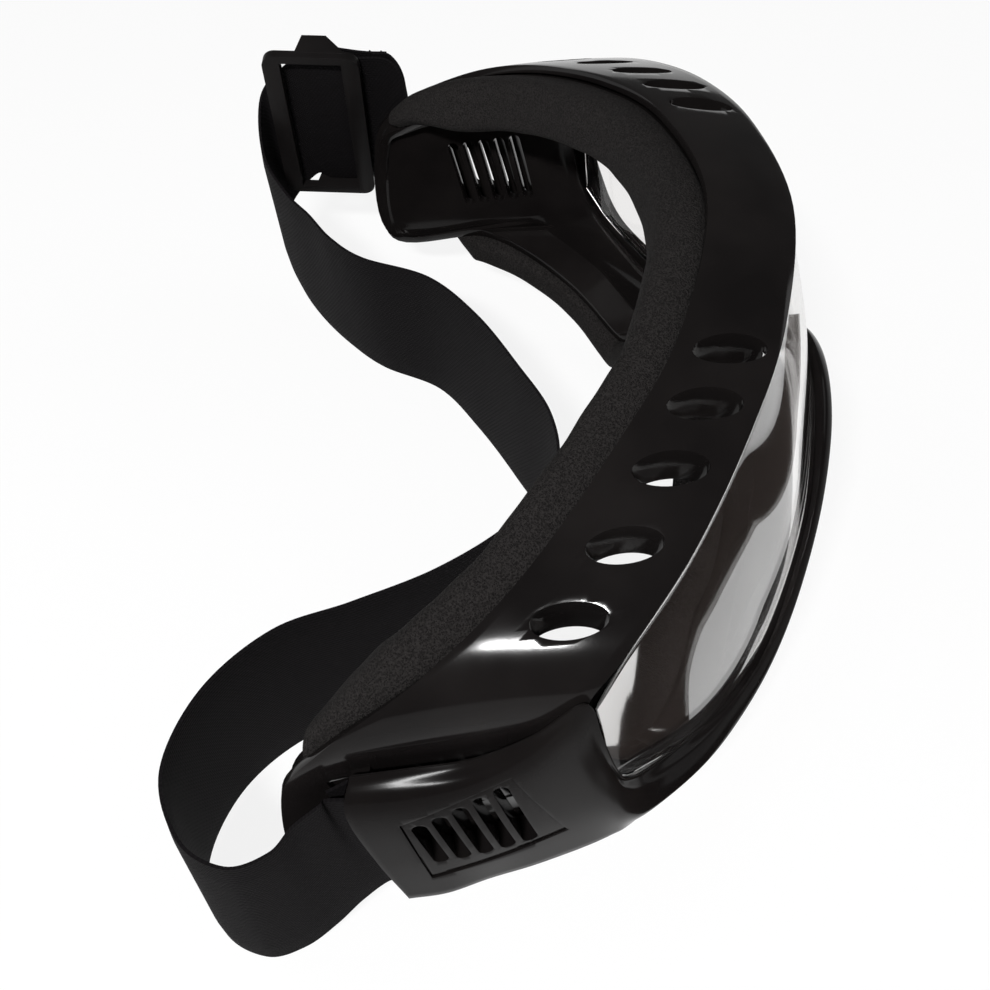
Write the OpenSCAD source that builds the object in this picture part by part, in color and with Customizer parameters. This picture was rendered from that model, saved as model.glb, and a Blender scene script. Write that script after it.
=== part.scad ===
// Airsoft goggles: a wraparound lens in a moulded frame, with face foam, side vents and an elastic strap.
// X runs across the face with the wearer's left at +X, Y runs back to the ears, and Z is up.
// The goggles stand on a table as worn, and the strap stands on its lower edge behind them.

/* [Frame] */
// Thickness of the frame's moulded walls
wall = 2.2; // [1.8:0.1:2.6]
// Width of the flange that carries the face foam
flange_w = 9; // [7:0.5:10]
// Height of the small lip around the foam
lip_h = 1.2; // [0.6:0.1:1.6]
// Thickness of the bezel over the lower half of the frame
bezel_t = 1.7; // [1.4:0.1:2]

/* [Lens] */
// Thickness of the lens
lens_t = 2; // [1.6:0.1:2.4]
// How far the lens swells between its top and bottom edges
lens_swell = 0.8; // [0:0.1:1.6]

/* [Foam] */
// Thickness of the face foam, from the flange to the face
foam_t = 9; // [6:0.5:10]
// Width of the face foam
foam_w = 11; // [8:0.5:12]

/* [Vents] */
// Length of an oval brow vent, front to back
oval_l = 11.5; // [9:0.5:12]
// Width of an oval brow vent
oval_w = 5.4; // [3.5:0.1:6]
// Number of slots in each side vent
slot_count = 5; // [3:1:5]
// Distance from one slot to the next
slot_pitch = 3.6; // [3.2:0.1:3.8]
// Width of a slot
slot_w = 2.5; // [1.6:0.1:2.6]

/* [Strap] */
// Thickness of the elastic webbing
strap_t = 1.2; // [0.9:0.1:1.2]
// Diameter of the moulded bar in each temple that the webbing loops round
bar_d = 2; // [1.6:0.1:2]

/* [Slider] */
// Length of the slider along the webbing
slider_l = 22; // [20:0.5:24]
// Height of the slider across the webbing
slider_h = 42.5; // [42.5:0.5:46]
// Width of the slider's rails and of its middle bar
slider_bar = 4; // [3.5:0.1:4.5]
// Thickness of the slider's rails
slider_t = 2.2; // [1.8:0.1:2.4]

/* [Hidden] */
$fn = 48;

// Stations go half way round the face opening, from the middle of the brow past the left temple to
// the nose. This is the outer face of the frame at its front edge, where the lens sits.
frame_front = [[0, -48.3, 90], [26, -44.5, 88], [45, -37.7, 84.4], [62, -28.8, 78],
    [74.8, -18.9, 70.6], [79.2, -13.5, 64], [79.3, -13, 50], [76.5, -15.5, 37], [70.5, -21, 29],
    [57.5, -33, 22], [45.5, -41.5, 21.5], [29, -50, 32], [12, -52.5, 46], [0, -53, 50]];
// The outer face of the frame at its rear edge, beside the foam
frame_rear = [[0, -34, 92.5], [28, -28.3, 89.2], [47, -18, 84.2], [65, -4, 75.7],
    [76, 10, 67], [82.2, 25.5, 56], [84, 33.2, 44], [84, 32, 17.5], [82, 7, 22.5],
    [71, -16.5, 17], [56.5, -32.5, 6.5], [31, -40.5, 18], [13, -42.5, 36.5], [0, -43, 43]];
// How far the wall swells outward half way between those edges, how far the rear edge faces down, and
// the shares of the full width that the flange and the foam have
wall_swell = [0.6, 0.7, 0.6, 0.4, 0.4, -0.4, -1.4, -1.4, 0, 0.4, 0.6, 0.8, 0.6, 0.6];
edge_drop = [0, 0, 0, 0, 0, 0, 0.2, 0.8, 1, 0.4, 0, 0, 0, 0];
flange_share = [1, 1, 1, 1, 1, 0.7, 0.4, 0.4, 0.8, 1, 1, 0.9, 0.8, 0.7];
foam_share = [1, 1, 1, 1, 0.95, 0.4, 0.3, 0.5, 0.75, 0.8, 0.85, 1, 0.9, 0.85];

// Top and bottom edges of the lens, from the middle to one end
lens_top = [[0, -47.6, 88.6], [26, -43.8, 86.8], [45, -37, 83.2], [62, -28.2, 76.8],
    [74.3, -18.8, 69.2], [78.4, -14.8, 62.5]];
lens_low = [[0, -56, 52], [24, -54.5, 40], [43, -46.8, 25.5], [59, -35.5, 24], [71, -23.4, 30],
    [76.4, -17.3, 36.5]];

// The bezel runs from one strap pocket round under the lens to the other. Its stations go from the
// left pocket to the nose: the edge on the frame or lens, the crest, the side and the lower edge.
bezel_edge = [[84.4, 21.5, 52.5], [83.2, 12, 53], [82.4, 3, 54.5], [81.5, -6, 60],
    [79.9, -13.4, 66.3], [80.2, -16.1, 57], [79.6, -18.3, 47], [77.5, -20.4, 39.5], [71.7, -24.6, 31.8],
    [61.4, -34, 25.8], [52.9, -42, 24], [44.3, -47.7, 25.8], [34.7, -52, 32.5], [23.7, -55.2, 40.5],
    [12, -56.3, 49], [0, -56.6, 52]];
bezel_crest = [[88.2, 22.3, 47.5], [87.4, 12.5, 48.5], [86, 3, 50.5], [84.3, -5, 54],
    [82, -12, 58], [81, -15.5, 48], [80, -18.2, 41.5], [78.3, -20.8, 35.5], [73.2, -25.5, 29],
    [63, -34.8, 25.4], [53.3, -42.2, 24.6], [44.3, -48, 27.4], [34.7, -52.5, 34], [23.7, -56, 42.8],
    [12, -57.6, 50.8], [0, -58, 53.5]];
bezel_side = [[88.7, 19.3, 32], [88, 10.5, 33], [86.6, 2, 34], [84.7, -5, 36], [82.6, -11.5, 38],
    [81.2, -15.5, 36], [80, -18.3, 32], [78.6, -21, 28], [75.4, -25.3, 24.8], [65.4, -35, 21.8],
    [55.5, -42.3, 21], [45.7, -48.5, 24], [35.8, -53.3, 31], [24, -57.3, 40], [12, -59.5, 48],
    [0, -60, 51]];
bezel_low = [[88.3, 15.6, 16.5], [87.4, 9, 17], [85.2, 2, 18], [83.5, -5, 19.3],
    [81.3, -11.5, 20], [79.8, -15.5, 20.5], [78.3, -18.5, 20.5], [76.8, -20.8, 20],
    [73, -24.5, 18.5], [63.5, -34, 17], [54, -41, 17.5], [44.5, -46.5, 20], [34.5, -51, 27],
    [23.7, -54.8, 36], [12, -57, 44.5], [0, -57.5, 47.5]];

// Where the oval brow vents sit, counted in stations from the middle of the brow, and the collar
// inside the frame round each of them
oval_at = [1.2, 1.7, 2.24, 2.83, 3.5];
oval_across = 0.47;
collar_t = 1;
collar_h = 6.5;

// The middle of the side vent's face, its lean towards the ear and its turn with the temple
vent_at = [86, 3.6, 38];
vent_lean = 13;
vent_turn = 12;
// Outline of the louver back from that middle and up, and how deep it reaches into the temple
vent_outline = [[10.5, -11.5], [9.4, 8.2], [-9.6, 13.4], [-13, -10]];
vent_depth = 4.5;
// Foot and height of the rearmost and the foremost slot in the louver, then in the temple behind it
louver_slots = [[-6.7, 13.6], [-8.9, 20.6]];
temple_slots = [[-6, 17], [-6, 16.5]];
fit_gap = 0.15;

// The moulded bar in the left temple: its middle, and half the width of the gathered webbing on it
bar_at = [83.9, 16.5, 34];
gather_half = 14.5;
lug_t = 2;

// The middle of the slider at rest, on the webbing that runs straight through it, and its tilt
strap_w = 38;
slider_at = [90, 46.3, 46.3];
slider_tilt = [2, -9, -2];
layer = strap_t + 0.2;
straight_front = -17;
straight_rear = 4;

// The lower edge and the upper edge of the free webbing, from the right temple round to the slider
web_low = [[-86.7, 24, 12.5], [-88.6, 29, 6.5], [-91.2, 35, 2.2],
    [-92.3, 42, 0.2], [-88, 50, 0],
    [-76, 55.5, 0], [-61, 51.5, 0], [-49.5, 41, 0], [-43.5, 27, 0], [-36, 12, 0], [-25, -1, 0],
    [-12, -8.5, 0], [3, -7.5, 0], [18, 0, 0], [33, 9, 0], [46, 19, 0], [53.5, 33, 0], [61.5, 42, 0],
    [71, 50, 0], [79.5, 56, 2], [88, 60.5, 7.5], [94.2, 59.4, 17]];
web_high = [[-86.7, 26.5, 47.5], [-88.2, 31, 43.5], [-90.8, 35, 39.5], [-92.5, 42, 38],
    [-88, 50, 38], [-76, 55, 38], [-61, 51, 38], [-49, 40.5, 38], [-43, 27, 38], [-35.5, 12, 38],
    [-25, -1, 38], [-12, -9, 38], [2, -8, 38], [16, -1, 38], [31, 8, 38], [43, 19, 38],
    [49.5, 34, 38], [56.5, 42, 38], [65, 48, 38], [73.5, 54.5, 38], [82.5, 60.2, 42.5], [89.9, 59.4, 54]];

function mirrored(p) = [-p[0], p[1], p[2]];
function unit(v) = v / norm(v);

// A smooth curve through four points, between the middle two
function between(a, b, c, d, t) = 0.5 * (2 * b + (c - a) * t + (2 * a - 5 * b + 4 * c - d) * t * t
    + (3 * b - a - 3 * c + d) * t * t * t);

// The value at u on a closed list and on an open one, with u counted in stations
function on_loop(list, u) = let(n = len(list), w = (u + n) % n, i = floor(w), t = w - i)
    between(list[(i - 1 + n) % n], list[i], list[(i + 1) % n], list[(i + 2) % n], t);
function on_line(list, u) = let(n = len(list), i = max(0, min(floor(u), n - 2)), t = u - i,
    a = i > 0 ? list[i - 1] : 2 * list[0] - list[1],
    d = i < n - 2 ? list[i + 2] : 2 * list[n - 1] - list[n - 2])
    between(a, list[i], list[i + 1], d, t);

// Half a list of stations made whole: round the face, out from the middle, or in to the middle
function flipped(value) = is_list(value) ? mirrored(value) : value;
function round_face(half) = let(n = len(half))
    concat(half, [for (i = [n - 2:-1:1]) flipped(half[i])]);
function from_middle(half) = let(n = len(half))
    concat([for (i = [n - 1:-1:1]) flipped(half[i])], half);
function to_middle(half) = let(n = len(half))
    concat(half, [for (i = [n - 2:-1:0]) flipped(half[i])]);

// A solid skinned over rings that have the same even number of points. An open one is closed at its
// ends by strips from each point to the one across the ring. Crossed faces are split the other way,
// so that a foam strip's foot lies along the flange under it.
module skinned(rings, closed, crossed = false) {
    count = len(rings[0]);
    total = len(rings);
    sides = [for (i = [0:(closed ? total : total - 1) - 1], j = [0:count - 1])
        let(a = i * count, b = (i + 1) % total * count, k = (j + 1) % count)
            each crossed ? [[a + j, b + j, a + k], [b + j, b + k, a + k]]
                : [[a + j, b + j, b + k], [a + j, b + k, a + k]]];
    strip = [for (j = [0:count / 2 - 2]) each [[j, j + 1, count - 2 - j],
        [j, count - 2 - j, count - 1 - j]]];
    ends = concat(strip, [for (f = strip) [for (i = [2:-1:0]) (total - 1) * count + f[i]]]);
    polyhedron(points = [for (r = rings) each r], faces = closed ? sides : concat(sides, ends),
        convexity = 8);
}

// The frame's outer face, u stations round the opening and v of the way from front to rear
front_loop = round_face(frame_front);
rear_loop = round_face(frame_rear);
swell_loop = round_face(wall_swell);
drop_loop = round_face(edge_drop);
share_loop = round_face(flange_share);
foam_loop = round_face(foam_share);
function front(u) = on_loop(front_loop, u);
function rear(u) = on_loop(rear_loop, u);
function rearward(u) = unit(rear(u) - front(u));
function outward(u) = unit(cross(front(u + 0.1) - front(u - 0.1) + rear(u + 0.1) - rear(u - 0.1),
    rearward(u)));
function face(u, v) = front(u) + v * (rear(u) - front(u))
    + 4 * v * (1 - v) * on_loop(swell_loop, u) * outward(u);

// At the rear edge: along it, back to the face and square to the edge, and out from the opening
function along(u) = unit(rear(u + 0.1) - rear(u - 0.1));
function backward(u) = let(way = rearward(u) - [0, 0, on_loop(drop_loop, u)])
    unit(way - (way * along(u)) * along(u));
function away(u) = cross(along(u), backward(u));

// One section of the frame: outer face, lip, flange and inner face
flange_t = 2;
lip_t = 1.5;
wall_rows = 6;
function frame_section(u) = let(out = away(u), back = backward(u), edge = rear(u),
    width = flange_w * on_loop(share_loop, u),
    stop = 1 - (lip_h + flange_t + 0.5) / max(6, (rear(u) - front(u)) * back))
    concat([for (k = [0:wall_rows]) face(u, k / wall_rows)],
        [edge - out * lip_t,
         edge - out * lip_t - back * lip_h,
         edge - out * width - back * lip_h,
         edge - out * width - back * (lip_h + flange_t)],
        [for (k = [wall_rows - 1:-1:0]) face(u, stop * k / (wall_rows - 1)) - outward(u) * wall]);

// One section of a shell: rows along its outer face, then back along its inner face, which lies at
// each row's own depth under the outer one
function shell_section(outer, out, depths) = let(n = len(outer))
    concat(outer, [for (k = [n - 1:-1:0]) outer[k] - out * depths[k]]);

// The lens is skinned from its top edge to its bottom edge, and gap grows it on every side
lens_rows = 6;
top_line = from_middle(lens_top);
low_line = from_middle(lens_low);
function lens_section(u, gap) = let(top = on_line(top_line, u), low = on_line(low_line, u),
    along = on_line(top_line, u + 0.1) - on_line(top_line, u - 0.1)
        + on_line(low_line, u + 0.1) - on_line(low_line, u - 0.1),
    out = unit(cross(along, top - low)), rise = unit(top - low))
    shell_section([for (k = [0:lens_rows]) let(v = k / lens_rows)
        top + v * (low - top) + out * (gap + 4 * v * (1 - v) * lens_swell)
            + rise * gap * (k == 0 ? 1 : k == lens_rows ? -1 : 0)],
        out, [for (k = [0:lens_rows]) lens_t + 2 * gap]);

module lens_body(gap) {
    steps = 5;
    last = len(top_line) - 1;
    skinned([for (i = [0:last * steps]) lens_section(i / steps, gap)], false);
}

// The bezel is skinned through its edge, its crest, its side and its lower edge
bezel_rows = 9;
edge_line = to_middle(bezel_edge);
crest_line = to_middle(bezel_crest);
side_line = to_middle(bezel_side);
bottom_line = to_middle(bezel_low);
function bezel_outline(u) = [on_line(edge_line, u), on_line(crest_line, u), on_line(side_line, u),
    on_line(bottom_line, u)];
// The wall thins towards its edge. Under the lens, the rim is solid behind its crest.
edge_t = 0.2 * bezel_t;
function rim_share(u) = max(0, min(1, (min(u, len(edge_line) - 1 - u) - 7.5) / 1.5));
function bezel_section(u) = let(points = bezel_outline(u),
    along = on_line(crest_line, u + 0.1) - on_line(crest_line, u - 0.1),
    out = unit(cross(points[1] - points[3], along)),
    outer = [for (k = [0:bezel_rows]) on_line(points, 3 * k / bezel_rows)],
    walls = [for (k = [0:bezel_rows]) min(bezel_t, edge_t + k * (bezel_t - edge_t) / 3)],
    flush = [for (p = outer) (p - outer[0]) * out + edge_t])
    shell_section(outer, out,
        [for (k = [0:bezel_rows]) walls[k] + rim_share(u) * max(0, flush[k] - walls[k])]);

// A matrix that stands a shape up at a point, with its Z along out and its Y close to up
function stand(at, out, up) = let(z = unit(out), x = unit(cross(up, z)), y = cross(z, x))
    [[x[0], y[0], z[0], at[0]], [x[1], y[1], z[1], at[1]], [x[2], y[2], z[2], at[2]], [0, 0, 0, 1]];

module oval(l, w) {
    scale([w, l]) circle(d = 1, $fn = 36);
}

module round_ended(l, w) {
    square([w, l - w], center = true);
    for (end = [-1, 1])
        translate([0, end * (l - w) / 2]) circle(d = w, $fn = 24);
}

module on_both_sides() {
    children();
    mirror([1, 0, 0]) children();
}

// The side vent's own axes: X out of the temple, Y back along it and Z up its leaning slots
module at_vent() {
    translate(vent_at) rotate([0, 0, -vent_turn]) rotate([-vent_lean, 0, 0]) children();
}

module vent_plug(gap, proud, deep) {
    at_vent() translate([-deep, 0, 0]) rotate([90, 0, 90]) linear_extrude(deep + proud)
        polygon([for (p = vent_outline) p + gap * [sign(p[0]), sign(p[1])]]);
}

// The row of leaning slots, cut right through, from the foot and height of its rearmost and its
// foremost slot
module slots(ends) {
    rows = (slot_count - 1) / 2;
    at_vent() translate([-4 * vent_depth, 0, 0]) rotate([90, 0, 90]) linear_extrude(5 * vent_depth)
        for (i = [-rows:rows])
            let(one = ends[0] + (0.5 + i / 4) * (ends[1] - ends[0]))
                translate([-i * slot_pitch, one[0] + one[1] / 2]) round_ended(one[1], slot_w);
}

// The brow vents lie on the face and go straight down through it, as they are moulded
module at_brow_vents() {
    for (u = oval_at)
        let(m = stand(face(u, oval_across), outward(u), rearward(u)))
            multmatrix([[m[0][0], m[0][1], 0, m[0][3]], [m[1][0], m[1][1], 0, m[1][3]],
                [m[2][0], m[2][1], 1, m[2][3]]]) children();
}

// The room that the webbing needs behind the bar and beside its loop
module pocket() {
    translate(bar_at) rotate([-vent_lean, 0, 0]) difference() {
        translate([-turn_r - strap_t / 2 - 0.3, -bar_d / 2 - strap_t - 0.6, -gather_half - 0.3])
            cube([10, 9, 2 * gather_half + 0.6]);
        cylinder(h = 2 * gather_half + 2 * lug_t, d = bar_d, center = true);
    }
}

module frame() {
    steps = 3;
    total = len(front_loop) * steps;
    lug = [3.3, 3, lug_t];
    color([0.05, 0.05, 0.055]) difference() {
        union() {
            skinned([for (i = [total:-1:1]) frame_section(i / steps)], true);
            on_both_sides() translate(bar_at) rotate([-vent_lean, 0, 0]) {
                cylinder(h = 2 * gather_half + lug_t, d = bar_d, center = true);
                for (end = [-1, 1])
                    translate([-lug[0] / 2 + 1, 0, end * (gather_half + lug_t / 2 + 0.3)])
                        cube(lug, center = true);
            }
            on_both_sides() at_brow_vents() translate([0, 0, -collar_h])
                linear_extrude(collar_h - wall / 2)
                    oval(oval_l + 2 * collar_t, oval_w + 2 * collar_t);
        }
        on_both_sides() pocket();
        lens_body(fit_gap);
        on_both_sides() {
            at_brow_vents() translate([0, 0, -2 * collar_h]) linear_extrude(3 * collar_h)
                oval(oval_l, oval_w);
            slots(temple_slots);
        }
    }
}

module bezel() {
    steps = 3;
    last = len(edge_line) - 1;
    color([0.06, 0.06, 0.065]) difference() {
        skinned([for (i = [last * steps:-1:0]) bezel_section(i / steps)], false);
        on_both_sides() vent_plug(fit_gap, 6, vent_depth);
    }
}

module lens() {
    color([0.75, 0.78, 0.8, 0.4]) lens_body(0);
}

// Face foam, on a thin line of glue on the flange: u stations round the opening. Where it leans out,
// it starts further from the lip, and its inner edge, which overhangs the flange, stands off it.
glue_t = 0.2;
lip_gap = 0.7;
overhang_t = 0.6;
foam_round = 2;
function foam_section(u, rise) = let(out = away(u), edge = rear(u) - backward(u) * (lip_h - glue_t),
    back = unit(backward(u) + [0, rise, 0]), share = on_loop(foam_loop, u),
    lean = lip_h * max(0, back * out) / (back * backward(u)), deep = foam_t * share,
    a = lip_t + lip_gap + lean, b = a + foam_w * share, r = foam_round * share)
    [edge - out * a, edge - out * a + back * (deep - r), edge - out * (a + r) + back * deep,
     edge - out * (b - r) + back * deep, edge - out * b + back * (deep - r),
     edge - out * b + back * overhang_t];

module foam_strip(from, to, rise) {
    steps = 3;
    color([0.12, 0.12, 0.12])
        skinned([for (i = [to * steps:-1:from * steps]) foam_section(i / steps, rise)], false, true);
}

// The upper strip goes over the brow from temple to temple, the lower one over cheeks and nose
upper_end = 5 + 1 / 3;
lower_start = 7 + 2 / 3;
module face_foam_upper() {
    foam_strip(-upper_end, upper_end, 0.5);
}

module face_foam_lower() {
    foam_strip(lower_start, len(front_loop) - lower_start, 0.2);
}

module vent_louver() {
    recess = 0.3;
    face_t = 1.8;
    duct_t = 1;
    color([0.055, 0.055, 0.06]) difference() {
        vent_plug(0, -recess, vent_depth);
        vent_plug(-duct_t, -recess - face_t, 2 * vent_depth);
        slots(louver_slots);
    }
}

module vent_louver_left() {
    vent_louver();
}

module vent_louver_right() {
    mirror([1, 0, 0]) vent_louver();
}

// Turns a point about X, then Y, then Z, as rotate() does
function turned(p, a) = let(
    x = [p[0], p[1] * cos(a[0]) - p[2] * sin(a[0]), p[1] * sin(a[0]) + p[2] * cos(a[0])],
    y = [x[0] * cos(a[1]) + x[2] * sin(a[1]), x[1], x[2] * cos(a[1]) - x[0] * sin(a[1])])
    [y[0] * cos(a[2]) - y[1] * sin(a[2]), y[0] * sin(a[2]) + y[1] * cos(a[2]), y[2]];

// A pair of webbing edge points beside the left bar, and one in the slider's axes
function at_bar(out, back, half) = [for (end = [-1, 1])
    bar_at + turned([out, back, end * half], [-vent_lean, 0, 0])];
function at_slider(out, back, half) = [for (end = [-1, 1])
    slider_at + turned([out, back, end * half], slider_tilt)];

// The webbing's turn round a bar, from its inner side by the front to its outer side
turn_r = bar_d / 2 + 0.1 + strap_t / 2;
bar_turn = [for (angle = [180:-45:0])
    at_bar(turn_r * cos(angle), -turn_r * sin(angle), gather_half)];
free_web = [for (i = [0:len(web_low) - 1]) [web_low[i], web_high[i]]];
outer_leg = [at_bar(turn_r, 2, gather_half), at_bar(turn_r, 6, gather_half + 0.5)];
inner_leg = [at_bar(turn_r - layer, 6, gather_half + 0.5), at_bar(-turn_r, 2, gather_half)];
right_end = [for (pair = concat(inner_leg, bar_turn, outer_leg)) [mirrored(pair[0]), mirrored(pair[1])]];
mouth = [[85.6, 25, 24], [85.6, 25.5, 58.5]];
half_w = strap_w / 2;
outer_end = -13.5;
left_end = concat([at_slider(0, straight_rear, half_w - 0.8), at_slider(0, 0, half_w - 0.1),
     at_slider(0, straight_front / 2, half_w - 0.3), at_slider(0, straight_front, half_w - 0.5), mouth],
    inner_leg, bar_turn, outer_leg, [[for (p = mouth) p + [layer, 0, 0]], at_slider(layer, straight_front - 0.5, half_w - 0.5),
     at_slider(layer, outer_end, half_w)]);

// Webbing swept through pairs of points on its lower and upper edges
function pair_at(path, u) = [on_line([for (p = path) p[0]], u), on_line([for (p = path) p[1]], u)];
function web_section(path, u) = let(here = pair_at(path, u), on = pair_at(path, u + 0.1),
    off = pair_at(path, u - 0.1), out = unit(cross(on[0] + on[1] - off[0] - off[1],
    here[1] - here[0])) * strap_t / 2)
    [here[0] - out, here[1] - out, here[1] + out, here[0] + out];

module webbing(path, steps) {
    skinned([for (i = [0:(len(path) - 1) * steps]) web_section(path, i / steps)], false);
}

module strap() {
    color([0.07, 0.065, 0.07]) webbing(concat(right_end, free_web, left_end), 3);
}

// The slider's middle bar stands out from its rails, so that the webbing runs between them
bar_t = 2;
rail_out = -strap_t / 2 - 0.4;
bar_in = layer + strap_t / 2 + 0.1;
bar_out = bar_in + bar_t;
module strap_end_loop() {
    reach = slider_bar / 2 + 0.3 + strap_t / 2;
    inner = layer + 0.1;
    outer = bar_out + 0.1 + strap_t / 2;
    bend = 0.8;
    lap = 2 * layer + 0.4;
    half = half_w - 1.2;
    path = [at_slider(inner, -6.5, half), at_slider(inner, 0, half),
        at_slider(inner, reach - bend, half), at_slider(inner + bend, reach, half),
        at_slider(outer - bend, reach, half), at_slider(outer, reach - bend, half),
        at_slider(outer, -2, half), at_slider(outer - 0.8, -6, half), at_slider(lap, -11.5, half),
        at_slider(lap, -16.5, half)];
    color([0.075, 0.07, 0.075]) webbing(path, 3);
}

module slider() {
    corner = 3;
    lug_h = 2;
    color([0.04, 0.04, 0.045]) translate(slider_at) rotate(slider_tilt) {
        translate([rail_out - slider_t, 0, 0]) rotate([90, 0, 90]) linear_extrude(slider_t)
            difference() {
                union() {
                    square([slider_l - 2 * corner, slider_h], center = true);
                    square([slider_l, slider_h - 2 * corner], center = true);
                    for (x = [-1, 1], y = [-1, 1])
                        translate([x * (slider_l / 2 - corner), y * (slider_h / 2 - corner)])
                            circle(r = corner);
                }
                square([slider_l - 2 * slider_bar, 2 * half_w + 0.6], center = true);
            }
        translate([(bar_in + bar_out) / 2, 0, 0])
            cube([bar_t, slider_bar, 2 * (half_w + 0.3 + lug_h)], center = true);
        for (end = [-1, 1])
            translate([0, 0, end * (half_w + 0.3 + lug_h / 2)]) linear_extrude(lug_h, center = true)
                polygon([[rail_out - 0.5, corner - slider_l / 2], [bar_out, -slider_bar / 2 - 1],
                    [bar_out, slider_bar / 2 + 0.5], [rail_out - 0.5, slider_bar / 2 + 1.5]]);
    }
}

frame();
bezel();
lens();
face_foam_upper();
face_foam_lower();
vent_louver_left();
vent_louver_right();
strap();
strap_end_loop();
slider();
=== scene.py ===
"""The looks of a pair of airsoft goggles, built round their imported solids."""
import logging
import math
from dataclasses import dataclass, field
from enum import Enum
from typing import Callable, Dict, List, Optional, Sequence, Tuple

import bpy
import numpy as np
from mathutils import Matrix, Vector


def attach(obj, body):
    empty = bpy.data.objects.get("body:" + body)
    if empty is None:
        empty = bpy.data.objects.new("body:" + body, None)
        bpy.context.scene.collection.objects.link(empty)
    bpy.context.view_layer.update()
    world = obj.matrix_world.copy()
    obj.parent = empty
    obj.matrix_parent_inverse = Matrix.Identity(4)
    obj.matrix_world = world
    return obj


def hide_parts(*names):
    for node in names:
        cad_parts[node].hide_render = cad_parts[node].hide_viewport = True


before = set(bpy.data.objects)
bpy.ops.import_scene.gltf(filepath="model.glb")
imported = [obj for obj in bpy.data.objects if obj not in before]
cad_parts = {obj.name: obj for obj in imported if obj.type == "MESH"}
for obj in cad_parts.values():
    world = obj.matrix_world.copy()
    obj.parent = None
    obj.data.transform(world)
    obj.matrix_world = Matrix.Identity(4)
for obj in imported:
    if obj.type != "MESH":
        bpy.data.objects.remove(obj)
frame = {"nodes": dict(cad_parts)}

LOG = logging.getLogger("goggles")
MM = 0.001
ROOT = "goggles"
SLIDING = "slider_body"
# How far to each side of a station a curve's direction is taken, in stations
STEP = 0.1
Colour = Tuple[float, float, float]
Array = np.ndarray


class Side(Enum):
    """A side of the wearer's head, as the sign of X."""

    LEFT = 1
    RIGHT = -1


class Edge(Enum):
    """How wide the moulded edges of a piece are rounded, in millimetres."""

    FINE = 0.2
    SOFT = 0.35
    ROUND = 0.6


def unit(v: Array) -> Array:
    """Vectors scaled to length one, along the last axis."""
    return v / np.maximum(np.linalg.norm(v, axis=-1, keepdims=True), 1e-12)


def turned(points: Array, degrees: Sequence[float]) -> Array:
    """Turns points about X, then Y, then Z.

    Args:
        points: The points, with X, Y and Z on the last axis.
        degrees: The three angles.

    Returns:
        The turned points.
    """
    a, b, c = (math.radians(d) for d in degrees)
    about_x = np.array([[1, 0, 0], [0, math.cos(a), -math.sin(a)], [0, math.sin(a), math.cos(a)]])
    about_y = np.array([[math.cos(b), 0, math.sin(b)], [0, 1, 0], [-math.sin(b), 0, math.cos(b)]])
    about_z = np.array([[math.cos(c), -math.sin(c), 0], [math.sin(c), math.cos(c), 0], [0, 0, 1]])
    return np.asarray(points, float) @ (about_z @ about_y @ about_x).T


@dataclass
class Stations:
    """A smooth curve through stations, which are points or plain values.

    Attributes:
        values: One row per station.
        closed: Whether the last station leads back to the first.
    """

    values: Array
    closed: bool = False

    def __post_init__(self) -> None:
        """Keeps the values as a table of floats."""
        self.values = np.asarray(self.values, float)

    def _station(self, i: Array) -> Array:
        """The station at each index, with one more past each end of an open curve."""
        n = len(self.values)
        if self.closed:
            return self.values[i % n]
        found = self.values[np.clip(i, 0, n - 1)].copy()
        found[i < 0] = 2 * self.values[0] - self.values[1]
        found[i > n - 1] = 2 * self.values[-1] - self.values[-2]
        return found

    def at(self, u: Array) -> Array:
        """The curve at each u, counted in stations.

        Args:
            u: Places on the curve.

        Returns:
            One row per place.
        """
        u = np.atleast_1d(np.asarray(u, float))
        i = np.floor(u).astype(int)
        if not self.closed:
            i = np.clip(i, 0, len(self.values) - 2)
        t = (u - i).reshape(-1, *([1] * (self.values.ndim - 1)))
        a, b, c, d = (self._station(i + k) for k in (-1, 0, 1, 2))
        return 0.5 * (2 * b + (c - a) * t + (2 * a - 5 * b + 4 * c - d) * t * t
                      + (3 * b - a - 3 * c + d) * t * t * t)


def mirrored(points: Array) -> Array:
    """Points mirrored to the other side, or plain values as they are."""
    points = np.asarray(points, float)
    return points * [-1, 1, 1] if points.ndim == 2 else points


def round_face(half: Sequence) -> Stations:
    """Half a list of stations, from the brow to the nose, made a closed loop."""
    half = np.asarray(half, float)
    return Stations(np.concatenate([half, mirrored(half)[-2:0:-1]]), closed=True)


def from_middle(half: Sequence) -> Stations:
    """Half a list that starts at the middle, made whole from the right end to the left."""
    half = np.asarray(half, float)
    return Stations(np.concatenate([mirrored(half)[:0:-1], half]))


def to_middle(half: Sequence) -> Stations:
    """Half a list that ends at the middle, made whole from the left end to the right."""
    half = np.asarray(half, float)
    return Stations(np.concatenate([half, mirrored(half)[-2::-1]]))


def select_only(piece: bpy.types.Object) -> None:
    """Makes one object the only selected one, and the active one."""
    bpy.ops.object.select_all(action="DESELECT")
    piece.select_set(True)
    bpy.context.view_layer.objects.active = piece


def apply_modifier(piece: bpy.types.Object, kind: str, **settings: object) -> None:
    """Adds a modifier to a piece and applies it.

    Args:
        piece: The piece.
        kind: The modifier's type.
        **settings: Its settings by name.
    """
    select_only(piece)
    modifier = piece.modifiers.new(kind.lower(), kind)
    for name, value in settings.items():
        setattr(modifier, name, value)
    bpy.ops.object.modifier_apply(modifier=modifier.name)


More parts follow.
